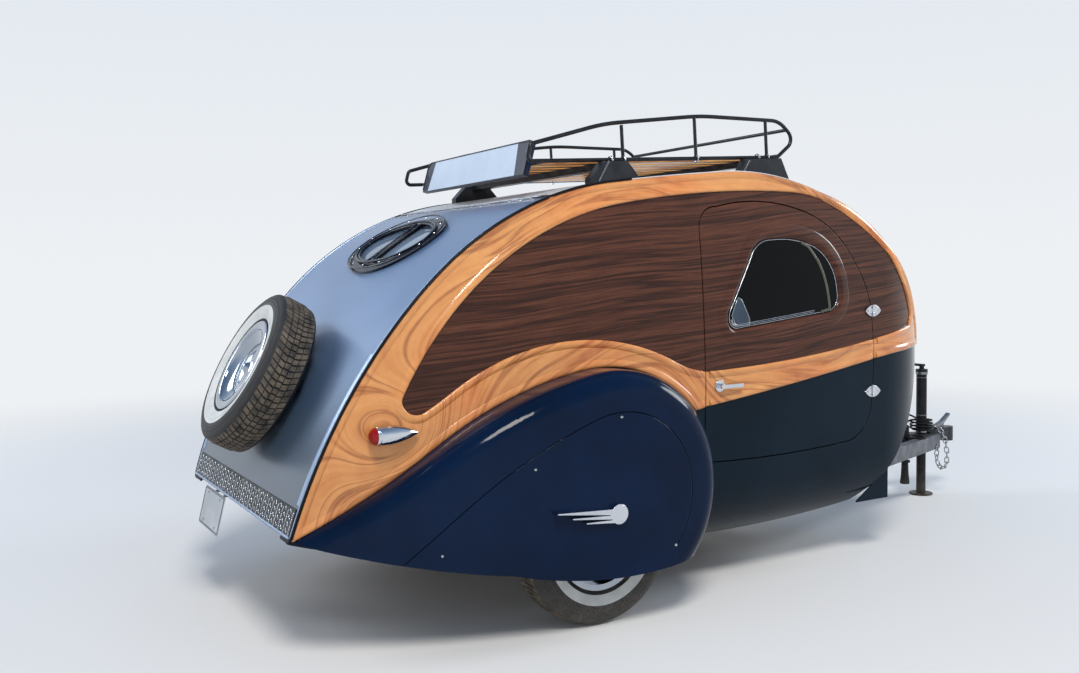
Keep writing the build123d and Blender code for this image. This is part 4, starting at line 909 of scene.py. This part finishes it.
def makeWoodLips():
    for word, side in sides:
        for node, body, part in (("wood_frames", "root", "Root"),
                                 (word + "_door_wood_frame", word + "_door", "Door")):
            form = bmesh.new()
            for loop in rimLoops(node, sideFaces(side)):
                for run, closed in runsOf(evenly(loop, woodLip["step"]), clearOfGaps):
                    trim(form, woodLip["section"], run, closed)
            pieceFrom(form, word + "WoodLip" + part, body, "wood_trim", "goldenWood", sharp=60)
    print("wood lips ready")


makeWoodLips()

# Windows: a walnut bowl, a bead round the glass, sill tracks, a divider and a vent flap
window = {
    "step": 0.012, "widest": 0.75,
    # sections: across the hole's edge, above the face
    "bowl": ((0.052, -0.004), (0.05, -0.0006), (0.04, 0.0008), (0.028, 0.0022), (0.016, 0.0034),
             (0.01, 0.0036), (0.005, 0.003), (0.001, 0.001), (-0.006, -0.0052), (-0.0115, -0.01),
             (-0.0115, -0.013), (0.0000, -0.013)),
    "seal": ((-0.0005, -0.012), (-0.0108, -0.0125), (-0.012, -0.008), (-0.0146, -0.0074),
             (-0.0163, -0.01), (-0.0163, -0.05), (-0.0005, -0.05)),
    "bead": oval(0.0018, 0.0016),
    "tracks": [oval(0.0016, 0.0022, (offset, 0.0012)) for offset in (0.0065, 0.0125)], "sillReach": 0.045,
    # x and z, in millimetres from the axle
    "middle": (950, 1190),
    "divider": ((1070, 1385), (1098, 1364), (1126, 1336), (1156, 1298), (1180, 1250), (1197, 1195),
                (1206, 1140), (1210, 1100), (1210, 1064)),
    "vent": ((672, 1090), (686, 1160), (728, 1150), (762, 1080), (765, 1050), (694, 1050)),
    # the last try for a place on the pane, and the tries that would reach its middle
    "tries": (20, 25),
    "bar": ((-0.006, -0.001), (0.006, -0.001), (0.006, 0.003), (0.004, 0.0048), (-0.004, 0.0048),
            (-0.006, 0.003)),
    "ventLift": 0.0022, "ventRim": oval(0.0013, 0.0013), "ventStep": 0.02,
}


def nearPane(pane, x, z, side):  # the point itself, or the first on the way to the pane's middle
    middleX, middleZ = window["middle"]
    last, whole = window["tries"]
    for i in range(last):
        share = i / whole
        place, out = wallPoint(pane, x + (middleX - x) * share, z + (middleZ - z) * share, side)
        if place is not None:
            return place, out


def makeWindow(word, side):
    door, name, facing = word + "_door", word + "Window", sideFaces(side)
    holes = [loop for loop in rimLoops(door + "_walnut_panel", facing) if wideOf(loop) < window["widest"]]
    hole = evenly(max(holes, key=wideOf), window["step"])
    form = bmesh.new()
    trim(form, window["bowl"], hole)
    pieceFrom(form, name + "Bowl", door, "walnut", "walnut", sharp=70)
    form = bmesh.new()
    trim(form, window["seal"], [(place, axisY * side) for place, out in hole])
    pieceFrom(form, name + "Seal", door, "window_trim", "sealBlack", replaces=word + "_window_frame",
              sharp=50)
    edge = evenly(max(rimLoops(word + "_window_pane", facing), key=wideOf), window["step"])
    sill = boxOf(edge)[0].z + window["sillReach"]
    form = bmesh.new()
    trim(form, window["bead"], edge)
    for run, closed in runsOf(edge, lambda place: place.z < sill):
        for track in window["tracks"]:
            trim(form, track, run, closed)
    pieceFrom(form, name + "Bead", door, "window_trim", "screwSteel", sharp=60)
    pane = surfaceOf(word + "_window_pane")
    form = bmesh.new()
    divider = [nearPane(pane, x, z, side) for x, z in window["divider"]]
    trim(form, window["bar"], evenly(divider, window["step"], False), False)
    pieceFrom(form, name + "Divider", door, "window_trim", "dividerGrey", sharp=50)
    form = bmesh.new()
    vent = [(place + out * window["ventLift"], out)
            for place, out in (nearPane(pane, x, z, side) for x, z in window["vent"])]
    form.faces.new([form.verts.new(place) for place, out in vent])
    glass = set(form.faces)
    trim(form, window["ventRim"], evenly(vent, window["ventStep"]))
    markNew(form, glass, 1)
    pieceFrom(form, name + "Vent", door, "window_glass", "ventGlass", "screwSteel", sharp=50)


for word, side in sides:
    makeWindow(word, side)
print("windows ready")

# Screws in the door hinges, the skirts and the piano hinge
fastening = {
    "hingeX": 1458, "hingeZ": (1085, 737), "facing": 0.5,
    # along the leaf from the pin, and up from its middle
    "fixedLeaf": ((12, 13), (12, -13), (30, 0)), "movingLeaf": ((-14, 13), (-14, -13), (-32, 0)),
    "skirt": ((11, 768), (-640, 356), (241, 284), (-320, 615)),
    # first and last place across the body, count
    "pianoY": (-600, 600, 16), "pianoAbove": 2200,
    "pianoX": {"hatch_hinge_moving": (-139, "hatch"), "hatch_hinge_fixed": (-105, "root")},
    # radius and height of the screws, metres
    "hingeScrew": (0.0034, 0.0022), "skirtScrew": (0.0055, 0.0025), "pianoScrew": (0.0038, 0.0016),
}


def makeHingeScrews(word, side):
    for node, body, part, leaf in (("hinge_fixed_leaves", "root", "Root", "fixedLeaf"),
                                   (word + "_door_fittings", word + "_door", "Door", "movingLeaf")):
        tree = surfaceOf(node)
        form = bmesh.new()
        for z in fastening["hingeZ"]:
            for along, up in fastening[leaf]:
                place, out = wallPoint(tree, fastening["hingeX"] + along, z + up, side)
                if place is not None and abs(out.y) > fastening["facing"]:
                    addScrew(form, place, out, *fastening["hingeScrew"])
        pieceFrom(form, word + "HingeScrews" + part, body, "chrome", "screwSteel")


def makeSkirtScrews():
    form = bmesh.new()
    tree = surfaceOf("fenders", "fender_skirts")
    for word, side in sides:
        for x, z in fastening["skirt"]:
            addScrew(form, *wallPoint(tree, x, z, side), *fastening["skirtScrew"])
    pieceFrom(form, "skirtScrews", "root", "chrome", "screwSteel")


def makePianoScrews(node, x, body):
    tree = surfaceOf(node)
    form = bmesh.new()
    low, high, count = fastening["pianoY"]
    for i in range(count):
        start = at(x, low + (high - low) * i / (count - 1), fastening["pianoAbove"])
        place, out = firstHit(tree, start, -axisZ)
        if place is not None:
            addScrew(form, place, out, *fastening["pianoScrew"])
    pieceFrom(form, node.replace("_", "") + "Screws", body, "hinge_steel", "screwSteel")


for word, side in sides:
    makeHingeScrews(word, side)
makeSkirtScrews()
for node, (x, body) in fastening["pianoX"].items():
    makePianoScrews(node, x, body)
print("fastenings ready")

# Hatch and roof: seals beside them, the hatch's bright edges, and flat strips low on it
hatchTrim = {
    "step": 0.02, "shortest": 0.5, "shortestRun": 0.3,
    # the hull's middle, then limits of the edges and of the faces beside them, millimetres
    "centre": (430, 250), "edgeFrom": 560, "stripTop": 1020, "plateTop": 530, "sealFront": 230,
    "sealLow": 920, "facing": 0.4,
    "seal": oval(0.007, 0.005, (-0.0078, -0.0015)),
    "edge": ((0.0006, -0.001), (0.0006, 0.0016), (0.003, 0.0026), (0.0065, 0.0022), (0.008, -0.001)),
    "strip": ((0.01, -0.001), (0.01, 0.0012), (0.012, 0.0018), (0.033, 0.0018), (0.035, 0.0012),
              (0.035, -0.001)),
}


def outerFaces(normal, middle):
    spoke = middle - at(hatchTrim["centre"][0], 0, hatchTrim["centre"][1])
    spoke.y = 0
    facing = hatchTrim["facing"]
    return abs(normal.y) < facing and normal.dot(spoke.normalized()) > facing


def edgeRuns(node, low=0, high=3000, ahead=9000):  # its edges between two heights and behind a place
    runs = []
    for loop in rimLoops(node, outerFaces):
        first, last = boxOf(loop)
        if (last - first).length < hatchTrim["shortest"]:
            continue
        runs += [run for run, closed in runsOf(
            evenly(loop, hatchTrim["step"]),
            lambda place: abs(place.y) > hatchTrim["edgeFrom"] / 1000 and low / 1000 < place.z < high / 1000
            and place.x < at(ahead, 0, 0).x) if not closed]
    return [run for run in runs if (run[0][0] - run[-1][0]).length > hatchTrim["shortestRun"]]


def makeHatchTrim():
    seals, edges = bmesh.new(), bmesh.new()
    roofRuns = edgeRuns("roof_skin", hatchTrim["sealLow"], ahead=hatchTrim["sealFront"])
    for run in edgeRuns("hatch") + roofRuns:
        trim(seals, hatchTrim["seal"], run, False)
    pieceFrom(seals, "hullSeals", "root", "window_trim", "sealBlack", sharp=60)
    for run in edgeRuns("hatch"):
        trim(edges, hatchTrim["edge"], run, False)
    for run in edgeRuns("hatch", hatchTrim["plateTop"], hatchTrim["stripTop"]):
        trim(edges, hatchTrim["strip"], run, False)
    pieceFrom(edges, "hatchEdges", "hatch", "hatch_skin", "edgeStrip", sharp=45)
    print("hatch trim ready")


makeHatchTrim()

# Tread plate: leaning bars in columns, and a bright lip along its low edge
treadBars = {
    "columns": 49, "rows": 4, "halfWidth": 644, "low": 445, "high": 516, "behind": -1600,
    # half length, half width and height of a bar, and how each second column leans, in degrees
    "bar": (0.0115, 0.0034, 0.002), "lean": (-8, 48),
    "lip": 438, "lipHalfWidth": 658, "lipPlaces": 45, "lipSection": oval(0.0045, 0.003),
}


def makeTreadBars():
    tree = surfaceOf("tread_plate")
    form = bmesh.new()
    for column in range(treadBars["columns"]):
        y = treadBars["halfWidth"] * (2 * column / (treadBars["columns"] - 1) - 1)
        lean = math.radians(treadBars["lean"][column % 2])
        for row in range(treadBars["rows"]):
            share = (row + (0.5 if column % 2 else 0.0)) / (treadBars["rows"] - 0.5)
            z = treadBars["low"] + (treadBars["high"] - treadBars["low"]) * share
            place, out = firstHit(tree, at(treadBars["behind"], y, z), axisX)
            if place is not None:
                home = basis(place, out, Vector((0, math.sin(lean), math.cos(lean))))
                bmesh.ops.create_icosphere(form, subdivisions=2, radius=1,
                                           matrix=home @ Matrix.Diagonal((*treadBars["bar"], 1)))
    pieceFrom(form, "treadBars", "hatch", "tread_plate", "treadLens", sharp=60)
    form = bmesh.new()
    last = treadBars["lipPlaces"] - 1
    line = [firstHit(tree, at(treadBars["behind"], treadBars["lipHalfWidth"] * (2 * i / last - 1),
                              treadBars["lip"]), axisX) for i in range(last + 1)]
    trim(form, treadBars["lipSection"], [point for point in line if point[0] is not None], False)
    pieceFrom(form, "treadLip", "hatch", "tread_plate", "edgeStrip", sharp=60)
    print("tread plate ready")


makeTreadBars()

# Porthole: two beads round it, screws between them, and a bow each side of its divider
porthole = {
    "middle": (-420, 0, 1397), "out": (-0.562, 0, 0.827), "height": 0.01, "places": 120,
    # half width, half height, bead half width, bead height
    "beads": ((0.34, 0.185, 0.0045, 0.0026), (0.297, 0.143, 0.006, 0.0045)),
    # count, half width and half height of their oval, radius, height, lift
    "screws": (14, 0.321, 0.1665, 0.0048, 0.0022, 0.0005),
    # half width, half height, half the divider, section, drop, places, step
    "bows": (0.284, 0.13, 0.026, oval(0.0055, 0.0045), -0.004, 60, 0.012),
}


def makePorthole():
    out = Vector(porthole["out"]).normalized()
    home = basis(at(*porthole["middle"]), out, -axisY)
    height = porthole["height"]
    form = bmesh.new()
    for wide, tall, half, rise in porthole["beads"]:
        line = [(home @ Vector((x, y, height)), out) for x, y in oval(wide, tall, count=porthole["places"])]
        trim(form, oval(half, rise), line)
    wide, tall, bar, section, drop, places, step = porthole["bows"]
    cut = math.asin(bar / wide)
    for flip in (-1, 1):
        angles = [cut + (math.pi - 2 * cut) * i / places for i in range(places + 1)]
        line = [(home @ Vector((flip * wide * math.sin(angle), tall * math.cos(angle), height + drop)), out)
                for angle in angles]
        trim(form, section, evenly(line, step))
    pieceFrom(form, "portholeBeads", "hatch", "porthole_trim", "portholeTrim", sharp=60)
    form = bmesh.new()
    count, wide, tall, radius, rise, lift = porthole["screws"]
    for x, y in oval(wide, tall, count=count, turn=math.pi / count):
        addScrew(form, home @ Vector((x, y, height + lift)), out, radius, rise)
    pieceFrom(form, "portholeScrews", "hatch", "porthole_trim", "screwSteel")
    print("porthole ready")


makePorthole()

# Tail lamps: a turned collar and a faceted lens in place of the plain one
lamp = {
    "at": (-812, 737, 750), "base": -810,
    "radius": 0.03, "bulge": 0.0245, "facets": (24, 15), "steps": 48,
    # radius and distance out of the body
    "collar": ((0.0285, 0.004), (0.0325, 0.003), (0.0345, 0.0), (0.0345, -0.006), (0.0325, -0.01),
               (0.03, -0.012)),
    "ridge": ((0.0322, -0.016), (0.0338, -0.0185), (0.0322, -0.021)),
}


def makeLamps():
    lens, collar = bmesh.new(), bmesh.new()
    x, y, z = lamp["at"]
    around, over = lamp["facets"]
    flat = Matrix.Diagonal((1, 1, lamp["bulge"] / lamp["radius"], 1))
    for word, side in sides:
        home = basis(at(x, side * y, z), -axisX, axisZ)
        bmesh.ops.create_uvsphere(lens, u_segments=around, v_segments=over, radius=lamp["radius"],
                                  matrix=home @ flat)
        for rows in (lamp["collar"], lamp["ridge"]):
            spinProfile(collar, rows, home, lamp["steps"])
    bmesh.ops.bisect_plane(lens, geom=lens.verts[:] + lens.edges[:] + lens.faces[:],
                           plane_co=at(lamp["base"], 0, 0), plane_no=axisX, clear_outer=True)
    bmesh.ops.holes_fill(lens, edges=[edge for edge in lens.edges if edge.is_boundary])
    pieceFrom(lens, "lampLenses", "root", "lamp_red", "lampRed", replaces="lamp_lenses", sharp=4)
    pieceFrom(collar, "lampCollars", "root", "chrome", "chrome", sharp=40)
    print("lamps ready")


makeLamps()

# Roof rack: clamps round the rails, bolts through the slats and seams across the feet
rack = {
    # x and z of the rack's plane at its front, millimetres, and its slope in degrees
    "origin": (240, 1692), "tilt": 3, "railY": 560, "railUp": 8,
    "clamps": (0, 746, 60, 420, 800), "bars": (0, 746),
    "clamp": (0.0135, 0.0034, 20), "clampBolt": (0.00385, 0.008), "clampDrop": 0.2,
    "slatPitch": 116, "slats": 9, "above": 200, "slatBolt": (0.0055, 0.003), "facing": 0.8,
    # seam across a foot: low and high ends, the places on it, its section
    "seams": (((158, 1612), (205, 1690)), ((868, 1664), (920, 1742))), "seamPlaces": (0.0, 0.35, 0.7, 1.0),
    "seam": ((-0.003, -0.001), (-0.003, 0.0012), (0.003, 0.0012), (0.003, -0.001)),
}
slope = math.radians(rack["tilt"])
alongRack = Vector((math.cos(slope), 0, math.sin(slope)))
aboveRack = Vector((-math.sin(slope), 0, math.cos(slope)))


def onRack(station, y, height):
    return at(rack["origin"][0], y, rack["origin"][1]) + (alongRack * station + aboveRack * height) / 1000


def makeClamps():
    form = bmesh.new()
    radius, wire, count = rack["clamp"]
    for word, side in sides:
        for station in rack["clamps"]:
            middle = onRack(station, side * rack["railY"], rack["railUp"])
            home = basis(middle, alongRack, aboveRack)
            ring = [(home @ Vector((x, y, 0)), alongRack) for x, y in oval(radius, radius, count=count)]
            trim(form, oval(wire, wire), ring)
            if station in rack["bars"]:
                for reach in (-radius, radius):
                    foot = middle + axisY * reach - aboveRack * radius * rack["clampDrop"]
                    addBolt(form, foot, aboveRack, *rack["clampBolt"])
    pieceFrom(form, "rackClamps", "root", "rack_graphite", "screwSteel", sharp=40)


def makeSlatBolts():
    form = bmesh.new()
    tree = surfaceOf("rack_slats")
    for station in rack["bars"]:
        for i in range(rack["slats"]):
            start = onRack(station, (i - (rack["slats"] - 1) / 2) * rack["slatPitch"], rack["above"])
            place, out = firstHit(tree, start, -aboveRack)
            if place is not None and out.dot(aboveRack) > rack["facing"]:
                addScrew(form, place, aboveRack, *rack["slatBolt"])
    pieceFrom(form, "slatBolts", "root", "slat_wood", "screwSteel")


def makeFootSeams():
    form = bmesh.new()
    tree = surfaceOf("rack_bars")
    for word, side in sides:
        for (lowX, lowZ), (highX, highZ) in rack["seams"]:
            places = [wallPoint(tree, lowX + (highX - lowX) * share, lowZ + (highZ - lowZ) * share, side)[0]
                      for share in rack["seamPlaces"]]
            line = [(place, axisY * side) for place in places if place is not None]
            if len(line) > 1:
                trim(form, rack["seam"], line, False)
    pieceFrom(form, "footSeams", "root", "rack_graphite", "barAlloy")


makeClamps()
makeSlatBolts()
makeFootSeams()
print("rack ready")

# Sign board: a pale field with slanted ends on both faces, and a rim. x and z of its edges, y of its ends.
board = {
    "low": (-90, 1641), "high": (-53, 1772), "half": 464,
    # right and left ends of the field: y at the low edge, y at the high edge
    "ends": ((-389, -364), (407, 386)),
    "thick": 0.022, "lift": 0.0008, "rim": oval(0.0032, 0.0032), "step": 0.05,
}


def makeBoard():
    low, high = (at(x, 0, z) for x, z in (board["low"], board["high"]))
    up = (high - low).normalized()
    out = Vector((-up.z, 0, up.x))
    form = bmesh.new()
    (rightLow, rightHigh), (leftLow, leftHigh) = board["ends"]
    for lift in (board["lift"], -board["thick"] - board["lift"]):
        field = [edge + axisY * (y / 1000) + out * lift
                 for edge, y in ((low, rightLow), (low, leftLow), (high, leftHigh), (high, rightHigh))]
        form.faces.new([form.verts.new(place) for place in field])
    fields = set(form.faces)
    half = axisY * (board["half"] / 1000)
    rim = [(place, out) for place in (low - half, low + half, high + half, high - half)]
    trim(form, board["rim"], evenly(rim, board["step"]))
    markNew(form, fields, 1)
    pieceFrom(form, "boardTrim", "root", "board_paint", "boardPale", "rackTube")
    print("sign board ready")


makeBoard()

# Number plate: a rim and four screws, in metres from its middle
plate = {
    "middle": (-1110, 300, 350), "out": (-0.97, 0, 0.243), "above": 0.1, "rimHalf": (0.1465, 0.07),
    "rim": oval(0.004, 0.0016), "step": 0.012, "holeHalf": (0.09, 0.055), "screw": (0.0062, 0.003),
}


def makePlate():
    tree = surfaceOf("number_plate")
    out = Vector(plate["out"]).normalized()
    home = basis(at(*plate["middle"]), out, axisY)

    def seats(half):  # on the plate, in its four corners
        starts = [home @ Vector((x * half[0], y * half[1], plate["above"]))
                  for x, y in ((-1, -1), (1, -1), (1, 1), (-1, 1))]
        return [(place, out) for place in (firstHit(tree, start, -out)[0] for start in starts) if place]

    form = bmesh.new()
    trim(form, plate["rim"], evenly(seats(plate["rimHalf"]), plate["step"]))
    rim = set(form.faces)
    for place, out in seats(plate["holeHalf"]):
        addScrew(form, place, out, *plate["screw"])
    markNew(form, rim, 1)
    pieceFrom(form, "plateTrim", "root", "plate_paint", "plateRim", "screwSteel", sharp=40)
    print("number plate ready")


makePlate()

# Jack: bands round the tube and ribs on the crank's grip
jack = {
    "axis": (2700, 0), "gripY": 90,
    # height above the ground, radius, height of the band
    "bands": ((679, 0.0325, 0.014), (655, 0.03, 0.003), (445, 0.03, 0.004), (352, 0.03, 0.01)),
    # lowest and highest rib, count, radius, height of a rib
    "grip": (734, 826, 9, 0.0142, 0.0045),
    # steps round, depth of the section
    "bandForm": (40, 0.004), "ribForm": (28, 0.003), "corner": 0.0008, "turn": Vector((1, 0.01, 0)),
}


def ringBand(form, place, radius, tall, steps, deep):
    half, corner = tall / 2, jack["corner"]
    rows = ((radius - deep, -half), (radius - corner, -half), (radius, corner - half))
    rows += tuple((out, -up) for out, up in reversed(rows))
    spinProfile(form, rows, basis(place, axisZ, jack["turn"]), steps)


def makeJack():
    x, y = jack["axis"]
    form = bmesh.new()
    for z, radius, tall in jack["bands"]:
        ringBand(form, at(x, y, z), radius, tall, *jack["bandForm"])
    pieceFrom(form, "jackBands", "root", "jack_steel", "jackSteel", sharp=40)
    form = bmesh.new()
    low, high, count, radius, tall = jack["grip"]
    for i in range(count):
        place = at(x, jack["gripY"], low + (high - low) * i / (count - 1))
        ringBand(form, place, radius, tall, *jack["ribForm"])
    pieceFrom(form, "jackGripRibs", "root", "jack_black", "jackBlack", sharp=40)
    print("jack ready")


makeJack()
